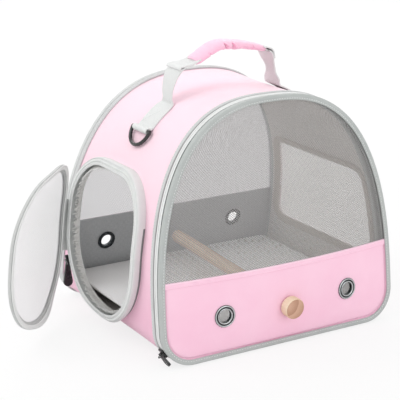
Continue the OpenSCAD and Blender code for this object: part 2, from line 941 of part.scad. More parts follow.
// Zip slider in its own frame: Z out of the tape, X along the zip, Y across
slider_l = 12;
slider_w = 7;
slider_t = 2.6;
bar_z = 4.6;
bar_r = 0.9;
post = 1.1;
post_l = 3.2;
module zip_slider() {
    union() {
        translate([-slider_l / 2, -slider_w / 2, 0]) cube([slider_l, slider_w, slider_t]);
        for (side = [-1, 1])
            translate([-post_l / 2, side * (slider_w / 2 - post / 2) - post / 2, 0])
            cube([post_l, post, bar_z + bar_r + 0.4]);
        translate([0, 0, bar_z]) rotate([90, 0, 0])
            cylinder(r = bar_r, h = slider_w - post, center = true, $fn = 24);
    }
}

// Pull of a slider: an eye on the bar and a drop-shaped tab, hanging along -X
eye_r = bar_r + seat_gap;
eye_wall = 0.8;
module zip_pull(length, end_w) {
    eye_w = slider_w - 2 * post - 2 * seat_gap;
    tab_t = 1.6;
    end_r = end_w / 2;
    translate([0, 0, bar_z]) difference() {
        union() {
            rotate([90, 0, 0])
                cylinder(r = eye_r + eye_wall, h = eye_w, center = true, $fn = 32);
            translate([0, 0, -tab_t / 2]) linear_extrude(height = tab_t) polygon(concat(
                [[-0.5, -eye_w / 2], [-0.5, eye_w / 2]],
                [for (a = [70:15:290]) [end_r - length + end_r * cos(a), end_r * sin(a)]]));
        }
        rotate([90, 0, 0]) cylinder(r = eye_r, h = eye_w + 2 * cut, center = true, $fn = 32);
    }
}

// Door slider on the collar's outer side, at an angle below the middle of the round
door_slider_angle = 24;
door_slider_x = hinge_x + 1.2;
slider_gap = 0.6;
module on_door_zip() {
    translate([door_slider_x, 0, door_mid_z]) rotate([-door_slider_angle, 0, 0])
        translate([0, door_low_r + slider_gap, 0]) rotate([0, -90, -90]) children();
}
module door_slider() {
    color(black) on_door_zip() zip_slider();
}

pull_l = 30;
pull_w = 9;
module door_pull() {
    color(black) on_door_zip() translate([0, 0, bar_z]) rotate([0, door_slider_angle, 0])
        translate([0, 0, -bar_z]) zip_pull(pull_l, pull_w);
}

// Front slider on the lower left corner of the zip
front_slider_angle = 35;
front_slider_in = chain_from + chain_w / 2;
module on_front_zip() {
    z = corner_r;
    translate([-base_half, front_y(z) + front_slider_in, z])
        rotate([-front_angle, 0, 0]) rotate([0, -front_slider_angle, 0])
        translate([-corner_r + cover_in - chain_up - seat_gap - touch_gap, 0, 0])
        rotate([0, -90, 0]) children();
}
module front_slider() {
    color(black) on_front_zip() zip_slider();
}

front_pull_l = 15;
module front_pull() {
    color(black) on_front_zip() zip_pull(front_pull_l, pull_w - 2);
}

gusset();
gusset_foam();
gusset_lining();
base_cover();
base_board();
base_lining();
front_rim_tape();
front_zip();
front_hoop();
back_rim_tape();
back_binding();
back_hoop();
back_cover();
back_lining();
back_mesh();
back_hem();
back_eyelets();
back_eyelet_washers();
door_collar();
door_zip();
door_hinge_tape();
window_mesh();
window_binding();
floor_board();
strap_left();
strap_right();
front_cover();
front_lining();
front_mesh();
front_hem();
front_binding();
front_eyelets();
front_eyelet_washers();
perch();
perch_bolt();
perch_washer();
perch_knob();
knob_insert();
door_binding();
door_mesh();
door_tape();
door_slider();
door_pull();
front_slider();
front_pull();
handle_webbing();
handle_grip();
handle_foot_left();
handle_foot_right();
d_ring_left();
d_ring_right();
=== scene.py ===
"""Dome bird travel carrier: cloth shell, mesh windows, zips, side door, perch and handle.

Lengths inside the classes are in millimetres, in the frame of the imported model: +Z up,
the front panel faces -Y and the side door is at -X.
"""
from __future__ import annotations

import json
import logging
import math
from dataclasses import dataclass, field
from enum import Enum
from typing import Callable, Iterable, Optional, Sequence

import bmesh
import bpy
import numpy as np
from mathutils import Matrix, Vector

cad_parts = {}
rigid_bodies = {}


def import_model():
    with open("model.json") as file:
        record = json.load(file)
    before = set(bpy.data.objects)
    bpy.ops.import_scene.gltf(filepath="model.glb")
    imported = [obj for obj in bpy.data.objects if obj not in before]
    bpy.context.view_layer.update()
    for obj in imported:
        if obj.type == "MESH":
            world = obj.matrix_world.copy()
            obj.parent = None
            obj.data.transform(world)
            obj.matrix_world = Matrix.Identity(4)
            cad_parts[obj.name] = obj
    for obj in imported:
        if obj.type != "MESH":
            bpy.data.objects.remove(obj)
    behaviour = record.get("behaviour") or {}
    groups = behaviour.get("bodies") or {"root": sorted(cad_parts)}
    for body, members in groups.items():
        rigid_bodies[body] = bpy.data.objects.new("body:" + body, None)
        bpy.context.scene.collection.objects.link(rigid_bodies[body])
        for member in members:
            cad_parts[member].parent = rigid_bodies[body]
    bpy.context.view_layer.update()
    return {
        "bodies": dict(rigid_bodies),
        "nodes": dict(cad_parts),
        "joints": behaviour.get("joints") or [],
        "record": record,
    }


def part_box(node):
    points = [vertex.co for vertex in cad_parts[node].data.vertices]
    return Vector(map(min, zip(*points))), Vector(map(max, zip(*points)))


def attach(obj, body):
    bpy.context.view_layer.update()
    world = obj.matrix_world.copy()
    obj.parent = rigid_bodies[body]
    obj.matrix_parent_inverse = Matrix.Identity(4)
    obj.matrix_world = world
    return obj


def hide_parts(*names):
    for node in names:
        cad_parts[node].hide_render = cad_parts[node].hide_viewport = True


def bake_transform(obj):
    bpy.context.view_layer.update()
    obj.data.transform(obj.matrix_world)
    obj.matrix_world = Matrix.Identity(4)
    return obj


LOG = logging.getLogger("carrier")
MM = 0.001


class Body(Enum):
    """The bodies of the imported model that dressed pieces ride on."""

    SHELL = "shell"
    FRONT = "front_panel"
    KNOB = "perch_knob"
    DOOR = "door"
    DOOR_SLIDER = "door_slider"
    DOOR_PULL = "door_pull"
    FRONT_SLIDER = "front_slider"
    FRONT_PULL = "front_pull"
    HANDLE = "handle"


class Side(Enum):
    """Left is the side with the door, right is the side with the window."""

    LEFT = -1
    RIGHT = 1


# ---- Curves that the whole carrier is built on


@dataclass(frozen=True)
class Arch:
    """The outline of the carrier seen from the front, and its leaning planes."""

    half_width: float = 160.0
    height: float = 289.0
    start: float = 42.0
    power: float = 2.57
    corner: float = 40.0
    depth: float = 276.0
    front_lean: float = 0.102
    back_lean: float = 0.188
    bulge: float = 12.0
    bulge_edge: float = 8.0
    bulge_top: float = 98.0

    def table(self) -> tuple[np.ndarray, np.ndarray, np.ndarray]:
        """Points of the outermost line and how they move with the inset.

        Returns:
            Shares from 0 to 1 along the closed line, its points, and the step of each
            point for one millimetre of inset. It starts in the middle of the base and
            runs up the left side.
        """
        foot = self.half_width - self.corner
        rise = self.height - self.start
        base = np.linspace(0.0, foot, 60)
        turn = np.radians(np.linspace(90.0, 0.0, 60))
        over = np.pi * (0.5 - 0.5 * np.cos(np.linspace(0.0, np.pi / 2, 500)))
        x = np.concatenate([base, foot + self.corner * np.cos(turn),
                            self.half_width * np.cos(over) ** (2 / self.power)])
        z = np.concatenate([0 * base, self.corner * (1 - np.sin(turn)),
                            self.start + rise * np.sin(over) ** (2 / self.power)])
        dx = np.concatenate([0 * base, -np.cos(turn), -np.cos(over) ** (2 / self.power)])
        dz = np.concatenate([0 * base + 1, np.sin(turn), -np.sin(over) ** (2 / self.power)])
        left = np.stack([-x, z], 1)
        step = np.stack([-dx, dz], 1)
        points = np.concatenate([left, (left * [-1, 1])[::-1][1:]])
        steps = np.concatenate([step, (step * [-1, 1])[::-1][1:]])
        run = run_along(points)
        return run / run[-1], points, steps

    def at(self, share: np.ndarray, inset: np.ndarray) -> tuple[np.ndarray, np.ndarray]:
        """X and Z at shares along the arch, at an inset from the outermost line."""
        shares, points, steps = self.table()
        share = np.asarray(share) % 1.0000001
        x = np.interp(share, shares, points[:, 0]) + inset * np.interp(share, shares, steps[:, 0])
        z = np.interp(share, shares, points[:, 1]) + inset * np.interp(share, shares, steps[:, 1])
        return x, z

    def perimeter(self) -> float:
        """Length of the outermost line."""
        points = self.table()[1]
        return float(np.linalg.norm(np.diff(points, axis=0), axis=1).sum())

    def share_of_base(self) -> float:
        """Share of the line from the middle of the base to the left corner's start."""
        return (self.half_width - self.corner) / self.perimeter()

    def width(self, z: np.ndarray, inset: np.ndarray) -> np.ndarray:
        """Half width at height z and an inset."""
        z, inset = np.broadcast_arrays(np.asarray(z, float), np.asarray(inset, float))
        rise = self.height - inset - self.start
        high = np.clip((z - self.start) / rise, 0, 1) ** self.power
        dome = (self.half_width - inset) * np.clip(1 - high, 0, 1) ** (1 / self.power)
        low = np.clip((self.corner - inset) ** 2 - (self.corner - z) ** 2, 0, None)
        foot = self.half_width - self.corner + np.sqrt(low)
        return np.where(z > self.start, dome, np.where(z > self.corner, self.half_width - inset, foot))

    def inset(self, x: np.ndarray, z: np.ndarray) -> np.ndarray:
        """How far a point of the lower half lies inside the outermost line."""
        foot = self.half_width - self.corner
        corner = self.corner - np.hypot(np.abs(x) - foot, self.corner - z)
        low = np.where(np.abs(x) > foot, corner, z)
        return np.where(z > self.corner, self.width(z, 0.0) - np.abs(x), low)

    def top(self, x: np.ndarray, inset: float) -> np.ndarray:
        """Height of the dome's line over x at an inset."""
        share = (np.abs(x) / (self.half_width - inset)) ** self.power
        return self.start + (self.height - inset - self.start) * (1 - share) ** (1 / self.power)

    def front(self, z: np.ndarray) -> np.ndarray:
        """Y of the front plane at height z."""
        return -self.depth / 2 + self.front_lean * z

    def back(self, z: np.ndarray) -> np.ndarray:
        """Y of the back plane at height z."""
        return self.depth / 2 - self.back_lean * z

    def panel(self, x: np.ndarray, z: np.ndarray) -> np.ndarray:
        """Y of the bulged front panel's face."""
        x, z = np.asarray(x, float), np.asarray(z, float)
        ramp = np.where(z >= self.bulge_top, 1.0, np.sin(np.pi / 2 * np.sqrt(
            np.clip(z - self.bulge_edge, 0, None) / (self.bulge_top - self.bulge_edge)).clip(0, 1)))
        inner = self.half_width - self.bulge_edge
        rise = self.height - self.bulge_edge - self.start
        dome = ((np.abs(x) / inner) ** self.power
                + (np.clip(z - self.start, 0, None) / rise) ** self.power) ** (1 / self.power)
        low = np.abs(x) / np.maximum(1.0, self.width(z, self.bulge_edge))
        share = np.where(z > self.start, dome, low)
        return self.front(z) - self.bulge * np.clip(1 - share ** 2, 0, None) * ramp

    def panel_frame(self, x: float, z: float) -> Matrix:
        """Frame on the front panel at a point, its Z out of the panel."""
        y = float(self.panel(x, z))
        pitch = math.atan(float(self.panel(x, z + 1) - self.panel(x, z - 1)) / 2)
        yaw = math.atan(float(self.panel(x + 1, z) - self.panel(x - 1, z)) / 2)
        return Matrix.Translation((x, y, z)) @ turned(90 - math.degrees(pitch), 0, math.degrees(yaw))

    def back_frame(self, x: float, z: float) -> Matrix:
        """Frame on the back panel at a point, its Z out of the back."""
        lean = math.degrees(math.atan(self.back_lean))
        return Matrix.Translation((x, float(self.back(z)), z)) @ turned(lean - 90, 0, 0)


ARCH = Arch()


@dataclass(frozen=True)
class Loop:
    """A closed outline in Y and Z made of arcs, each (y, z, radius, from, to)."""

    arcs: tuple[tuple[float, float, float, float, float], ...]

    def table(self) -> tuple[np.ndarray, np.ndarray, np.ndarray]:
        """Shares along the closed outline, its points and their outward normals."""
        points, normals = [], []
        for y, z, radius, start, end in self.arcs:
            angles = np.radians(np.linspace(start, end, 90))
            out = np.stack([np.cos(angles), np.sin(angles)], 1)
            points.append(np.array([y, z]) + radius * out)
            normals.append(out)
        points = np.concatenate(points + [points[0][:1]])
        normals = np.concatenate(normals + [normals[0][:1]])
        run = run_along(points)
        return run / run[-1], points, normals

    def at(self, share: np.ndarray, inset: np.ndarray) -> tuple[np.ndarray, np.ndarray]:
        """Y and Z at shares along the outline, at an inset."""
        shares, points, normals = self.table()
        share = np.asarray(share) % 1.0000001
        y = np.interp(share, shares, points[:, 0]) - inset * np.interp(share, shares, normals[:, 0])
        z = np.interp(share, shares, points[:, 1]) - inset * np.interp(share, shares, normals[:, 1])
        return y, z

    def span(self, heights: np.ndarray, inset: float) -> tuple[np.ndarray, np.ndarray]:
        """Where the outline begins and ends in Y at each height.

        Args:
            heights: Heights inside the outline.
            inset: Inset of the outline.

        Returns:
            The lowest and the highest Y at each height.
        """
        y, z = self.at(np.linspace(0, 1, 1801), inset)
        first, last = np.empty(len(heights)), np.empty(len(heights))
        for k, height in enumerate(heights):
            side = z > height
            cross = np.nonzero(side[1:] != side[:-1])[0]
            share = (height - z[cross]) / (z[cross + 1] - z[cross])
            hit = y[cross] + share * (y[cross + 1] - y[cross])
            first[k], last[k] = hit.min(), hit.max()
        return first, last

    def patch(self, low: float, high: float, inset: float, rows: int, cols: int
              ) -> tuple[np.ndarray, np.ndarray]:
        """A grid of Y and Z that fills the outline between two heights."""
        heights = low + (high - low) * (0.5 - 0.5 * np.cos(np.linspace(0.03, np.pi - 0.03, rows)))
        first, last = self.span(heights, inset)
        across = 0.5 + 0.5 * crowded(cols)
        return first[:, None] + (last - first)[:, None] * across[None, :], heights[:, None] + 0 * across

    def depth(self, y: np.ndarray, z: np.ndarray, inset: float) -> tuple[np.ndarray, np.ndarray]:
        """Signed distance to the outline, and the nearest points on it.

        Args:
            y: Y of the points.
            z: Z of the points.
            inset: How far inside its own line the outline is taken.

        Returns:
            Distances, negative inside, and the nearest points as rows of Y and Z.
        """
        line = np.stack(self.at(np.linspace(0, 1, 721)[:-1], inset), 1)
        nearest = np.empty((len(y), 2))
        signed = np.empty(len(y))
        middle = line.mean(0)
        for i, here in enumerate(np.stack([y, z], 1)):
            gap = line - here
            k = int((gap ** 2).sum(1).argmin())
            nearest[i] = line[k]
            size = float(np.linalg.norm(gap[k]))
            inward = line[(k + 1) % 720] - line[k - 1]
            normal = np.array([inward[1], -inward[0]])
            normal = normal if normal @ (line[k] - middle) > 0 else -normal
            signed[i] = size if (here - line[k]) @ normal > 0 else -size
        return signed, nearest


def window_loop(low: float, high: float, front: float, back: float, radius: float) -> Loop:
    """The side window's outline, its front and back edges leaning with the rims.

    Args:
        low: Height of the lower edge.
        high: Height of the upper edge.
        front: Distance of the front edge behind the front plane.
        back: Distance of the back edge before the back plane.
        radius: Corner radius.

    Returns:
        The outline.
    """
    ahead, behind = math.atan(ARCH.front_lean), math.atan(ARCH.back_lean)
    z0, z1 = low + radius, high - radius
    y0, y1 = (float(ARCH.front(z)) + front + radius / math.cos(ahead) for z in (z0, z1))
    y2, y3 = (float(ARCH.back(z)) - back - radius / math.cos(behind) for z in (z0, z1))
    ahead, behind = math.degrees(ahead), math.degrees(behind)
    return Loop(((y0, z0, radius, 180 - ahead, 270), (y2, z0, radius, 270, 360 + behind),
                 (y3, z1, radius, behind, 90), (y1, z1, radius, 90, 180 - ahead)))


DOOR_LOOP = Loop(((0, 103, 86, 180, 360), (24, 143, 62, 0, 90), (-24, 143, 62, 90, 180)))
WINDOW_LOOP = window_loop(69.0, 177.0, 26.0, 21.5, 14.0)


def turned(x: float, y: float, z: float) -> Matrix:
    """Turn about X, then Y, then Z, in degrees."""
    return (Matrix.Rotation(math.radians(z), 4, "Z") @ Matrix.Rotation(math.radians(y), 4, "Y")
            @ Matrix.Rotation(math.radians(x), 4, "X"))


def moved(points: np.ndarray, frame: Matrix) -> np.ndarray:
    """Points carried into a frame."""
    m = np.array(frame)
    return points @ m[:3, :3].T + m[:3, 3]


def softened(outline: Sequence[tuple[float, float]], rounds: int = 2, share: float = 0.25) -> np.ndarray:
    """A closed outline with its corners cut again and again.

    Args:
        outline: Corner points in order.
        rounds: How often each corner is cut.
        share: How much of each side a cut takes.

    Returns:
        The rounded outline.
    """
    points = np.array(outline, float)
    for _ in range(rounds):
        ahead = np.roll(points, -1, axis=0)
        points = np.stack([points * (1 - share) + ahead * share,
                           points * share + ahead * (1 - share)], 1).reshape(-1, 2)
    return points


def wander(*terms: np.ndarray, seed: float = 0.0) -> np.ndarray:
    """A smooth unrepeating value from -1 to 1 made of sines of its terms."""
    total = 0.0
    for k, term in enumerate(terms):
        total = total + np.sin(term * (1.0 + 0.37 * k) + seed * 1.7 + k) \
            + 0.6 * np.sin(term * (2.3 + 0.21 * k) + seed * 2.9 - k)
    return total / (1.6 * max(1, len(terms)))


def ease(value: np.ndarray, low: float, high: float) -> np.ndarray:
    """A smooth step from 0 at low to 1 at high."""
    share = np.clip((np.asarray(value, float) - low) / (high - low), 0, 1)
    return share * share * (3 - 2 * share)


def run_along(points: np.ndarray) -> np.ndarray:
    """Length of a line up to each of its points."""
    return np.concatenate([[0.0], np.cumsum(np.linalg.norm(np.diff(points, axis=0), axis=1))])


def relaxed(line: np.ndarray, rounds: int, count: int = 0, pitch: float = 0.0) -> np.ndarray:
    """A flat line taken at even steps and smoothed, its two ends kept.

    Args:
        line: Points of the line.
        rounds: How often it is smoothed.
        count: Number of points, where no pitch is given.
        pitch: Distance between points.

    Returns:
        The new points.
    """
    run = run_along(line)
    even = np.arange(0, run[-1], pitch) if pitch else np.linspace(0, run[-1], count)
    made = np.stack([np.interp(even, run, column) for column in line.T], 1)
    for _ in range(rounds):
        made[1:-1] = (made[:-2] + 2 * made[1:-1] + made[2:]) / 4
    return made


def ring_shares(steps: int) -> np.ndarray:
    """Shares of a closed outline as a column, without the doubled last one."""
    return np.linspace(0, 1, steps + 1)[:-1, None]


def crowded(count: int) -> np.ndarray:
    """Values from -1 to 1 that lie closer together at both ends."""
    return np.sin(np.pi * (np.linspace(0, 1, count) - 0.5))


# ---- Bench work on meshes


def clear_bench() -> None:
    """Leaves edit mode and deselects everything."""
    if bpy.context.object is not None and bpy.context.object.mode != "OBJECT":
        bpy.ops.object.mode_set(mode="OBJECT")
    bpy.ops.object.select_all(action="DESELECT")


def take(obj: bpy.types.Object) -> bpy.types.Object:
    """Makes one object the selected and active one."""
    clear_bench()
    obj.select_set(True)
    bpy.context.view_layer.objects.active = obj
    return obj


def apply_all(obj: bpy.types.Object) -> bpy.types.Object:
    """Applies every modifier in order."""
    take(obj)
    for modifier in list(obj.modifiers):
        bpy.ops.object.modifier_apply(modifier=modifier.name)
    return obj


def place(obj: bpy.types.Object, frame: Matrix) -> bpy.types.Object:
    """Writes a frame given in millimetres into a mesh made in millimetres."""
    take(obj)
    bpy.ops.object.transform_apply(location=True, rotation=True, scale=True)
    obj.data.transform(Matrix.Scale(MM, 4) @ frame)
    obj.data.update()
    return obj


def edit(obj: bpy.types.Object, *steps: Callable[[], object]) -> bpy.types.Object:
    """Runs steps on the whole mesh in edit mode."""
    take(obj)
    bpy.ops.object.mode_set(mode="EDIT")
    bpy.ops.mesh.select_all(action="SELECT")
    for step in steps:
        step()
    bpy.ops.object.mode_set(mode="OBJECT")
    return obj


def welded(obj: bpy.types.Object) -> bpy.types.Object:
    """Merges doubled points and turns the faces outwards."""
    return edit(obj, lambda: bpy.ops.mesh.remove_doubles(threshold=2e-6),
                lambda: bpy.ops.mesh.normals_make_consistent(inside=False))


def smooth(obj: bpy.types.Object, angle: float = 40.0) -> bpy.types.Object:
    """Shades smooth, with edges sharper than the angle kept."""
    take(obj)
    bpy.ops.object.shade_smooth_by_angle(angle=math.radians(angle))
    return obj


def lofted(name: str, points: np.ndarray, round_u: bool = False, round_v: bool = False) -> bpy.types.Object:
    """A surface through a grid of points, with a map of its own lengths.

    Args:
        name: Name of the piece.
        points: Rows of points in millimetres, shaped (along, across, 3).
        round_u: Whether the last row joins the first.
        round_v: Whether the last column joins the first.

    Returns:
        The new object, closed and turned outwards where it can be.
    """
    if round_u:
        points = np.concatenate([points, points[:1]], 0)
    if round_v:
        points = np.concatenate([points, points[:, :1]], 1)
    rows, cols = points.shape[0] - 1, points.shape[1] - 1
    clear_bench()
    bpy.ops.mesh.primitive_grid_add(x_subdivisions=rows, y_subdivisions=cols, size=2.0)
    obj = bpy.context.object
    obj.name = obj.data.name = name
    mesh = obj.data
    flat = np.empty(len(mesh.vertices) * 3)
    mesh.vertices.foreach_get("co", flat)
    flat = flat.reshape(-1, 3)
    i = np.rint((flat[:, 0] + 1) / 2 * rows).astype(int)
    j = np.rint((flat[:, 1] + 1) / 2 * cols).astype(int)
    mesh.vertices.foreach_set("co", (points[i, j] * MM).ravel())
    along = np.concatenate([[0], np.cumsum(np.linalg.norm(np.diff(points, axis=0), axis=2).mean(1))])
    across = np.concatenate([[0], np.cumsum(np.linalg.norm(np.diff(points, axis=1), axis=2).mean(0))])
    corner = np.empty(len(mesh.loops), int)
    mesh.loops.foreach_get("vertex_index", corner)
    where = np.stack([along[i], across[j]], 1)[corner] * MM
    mesh.uv_layers.active.data.foreach_set("uv", where.ravel())
    mesh.update()
    if round_u or round_v:
        welded(obj)
    return smooth(obj, 60.0)


def joined(name: str, obj: bpy.types.Object, others: Sequence[bpy.types.Object]) -> bpy.types.Object:
    """One object made of a first one and the others."""
    take(obj)
    for other in others:
        other.select_set(True)
    bpy.ops.object.join()
    obj.name = obj.data.name = name
    return obj


def bevelled(obj: bpy.types.Object, width: float, angle: Optional[float] = None) -> bpy.types.Object:
    """Rounds the sharp edges, and where an angle is given, only those sharper than it."""
    modifier = obj.modifiers.new("edge", "BEVEL")
    modifier.width = width
    modifier.segments = 3
    modifier.limit_method = "ANGLE"
    if angle is not None:
        modifier.angle_limit = math.radians(angle)
    return apply_all(obj)


def capped(obj: bpy.types.Object, *steps: Callable[[], object]) -> bpy.types.Object:
    """Closes the two open ends of a tube and runs further steps on the caps."""
    return edit(obj, lambda: bpy.ops.mesh.select_all(action="DESELECT"),
                lambda: bpy.ops.mesh.select_non_manifold(),
                lambda: bpy.ops.mesh.edge_face_add(), *steps,
                lambda: bpy.ops.mesh.select_all(action="SELECT"),
                lambda: bpy.ops.mesh.normals_make_consistent(inside=False))


def face_out(obj: bpy.types.Object, inside: Vector) -> bpy.types.Object:
    """Turns an open sheet so that its faces look away from a point inside the carrier."""
    look = sum(p.area * p.normal.dot(p.center - inside) for p in obj.data.polygons)
    if look < 0:
        edit(obj, lambda: bpy.ops.mesh.flip_normals())
    return obj


def thicken(obj: bpy.types.Object, wall: float) -> bpy.types.Object:
    """Gives a sheet its thickness, inwards from its face."""
    modifier = obj.modifiers.new("wall", "SOLIDIFY")
    modifier.thickness = wall * MM
    modifier.offset = -1.0
    modifier.use_even_offset = False
    return smooth(apply_all(obj), 60.0)


def cut_hole(obj: bpy.types.Object, test: Callable[[np.ndarray], tuple[np.ndarray, np.ndarray]]) -> None:
    """Opens a hole in a sheet and lays its edge on the outline.

    Args:
        obj: The sheet.
        test: Gives each point's signed distance to the outline, negative inside, and
            the place on the outline where such a point goes, all in millimetres.
    """
    mesh = bmesh.new()
    mesh.from_mesh(obj.data)
    mesh.verts.ensure_lookup_table()
    co = np.array([v.co for v in mesh.verts]) / MM
    signed, target = test(co)
    gone = [f for f in mesh.faces if all(signed[v.index] < 0 for v in f.verts)]
    for v in mesh.verts:
        if signed[v.index] < 0:
            v.co = Vector(target[v.index]) * MM
    bmesh.ops.delete(mesh, geom=gone, context="FACES")
    mesh.to_mesh(obj.data)
    mesh.free()


def pierce(obj: bpy.types.Object, holes: Iterable[tuple[float, float, float]],
           face: Callable[[np.ndarray, np.ndarray], np.ndarray]) -> None:
    """Cuts round holes into a wall.

    Args:
        obj: The sheet.
        holes: X, Z and radius of each hole.
        face: Y of the sheet at X and Z.
    """
    for cx, cz, radius in holes:
        def test(co: np.ndarray, spot: tuple[float, float] = (cx, cz), radius: float = radius
                 ) -> tuple[np.ndarray, np.ndarray]:
            """Signed distance of the sheet's points to a round hole."""
            gap = co[:, (0, 2)] - spot
            size = np.maximum(np.linalg.norm(gap, axis=1), 1e-6)
            x, z = (gap / size[:, None] * radius + spot).T
            return size - radius, np.stack([x, face(x, z), z], 1)
        cut_hole(obj, test)


def repeated(name: str, model: bpy.types.Object, frames: Iterable[Matrix]) -> bpy.types.Object:
    """One mesh made of copies of a small model, which is then removed.

    Args:
        name: Name of the new piece.
        model: What is copied, in millimetres.
        frames: Where each copy goes, in millimetres.

    Returns:
        The joined copies.
    """
    co = np.array([v.co for v in model.data.vertices])
    faces = [tuple(p.vertices) for p in model.data.polygons]
    points, sides = [], []
    for k, frame in enumerate(frames):
        points.append(moved(co, frame) * MM)
        sides += [tuple(k * len(co) + i for i in f) for f in faces]
    mesh = bpy.data.meshes.new(name)
    mesh.from_pydata(np.concatenate(points).tolist(), [], sides)
    mesh.update()
    obj = bpy.data.objects.new(name, mesh)
    bpy.context.scene.collection.objects.link(obj)
    bpy.data.objects.remove(model)
    return smooth(obj, 60.0)


def bead(length: float, width: float, height: float) -> bpy.types.Object:
    """A small rounded bead along X, used for stitches and zip coils."""
    clear_bench()
    bpy.ops.mesh.primitive_uv_sphere_add(segments=8, ring_count=5, radius=1.0,
                                         rotation=(0, math.pi / 2, 0))
    obj = bpy.context.object
    obj.scale = (height / 2, width / 2, length / 2)
    bpy.ops.object.transform_apply(location=True, rotation=True, scale=True)
    return obj


def frames_along(path: np.ndarray, out: np.ndarray, pitch: float, across: bool = False) -> list[Matrix]:
    """Frames at even steps along a path, X along it and Z out of the cloth.

    Args:
        path: Points in millimetres.
        out: Outward direction at each point.
        pitch: Step between frames.
        across: Whether X lies across the path instead.

    Returns:
        One frame for each step.
    """
    run = run_along(path)
    count = max(1, int(run[-1] / pitch))
    frames = []
    for s in (np.arange(count) + 0.5) * run[-1] / count:
        here, ahead, behind = (np.array([np.interp(spot, run, column) for column in path.T])
                               for spot in (s, min(s + 0.5, run[-1]), max(s - 0.5, 0)))
        z = Vector([np.interp(s, run, column) for column in out.T]).normalized()
        x = Vector(ahead - behind).normalized()
        y = z.cross(x).normalized()
        x = y.cross(z).normalized()
        axes = (y, -x, z) if across else (x, y, z)
        frames.append(Matrix([(*row, spot) for row, spot in zip(zip(*axes), here)] + [(0, 0, 0, 1)]))
    return frames


def stitches(name: str, path: np.ndarray, out: np.ndarray, pitch: float = 3.4) -> bpy.types.Object:
    """A row of sewn stitches along a path on cloth."""
    return repeated(name, bead(pitch * 0.72, 0.62, 0.5), frames_along(path, out, pitch))


# ---- Finishes


def linear(code: str, alpha: float = 1.0) -> tuple[float, float, float, float]:
    """A written colour such as F9CBE0 as linear values."""
    parts = [int(code[k:k + 2], 16) / 255 for k in (0, 2, 4)]
    low = [c / 12.92 if c <= 0.04045 else ((c + 0.055) / 1.055) ** 2.4 for c in parts]
    return (low[0], low[1], low[2], alpha)


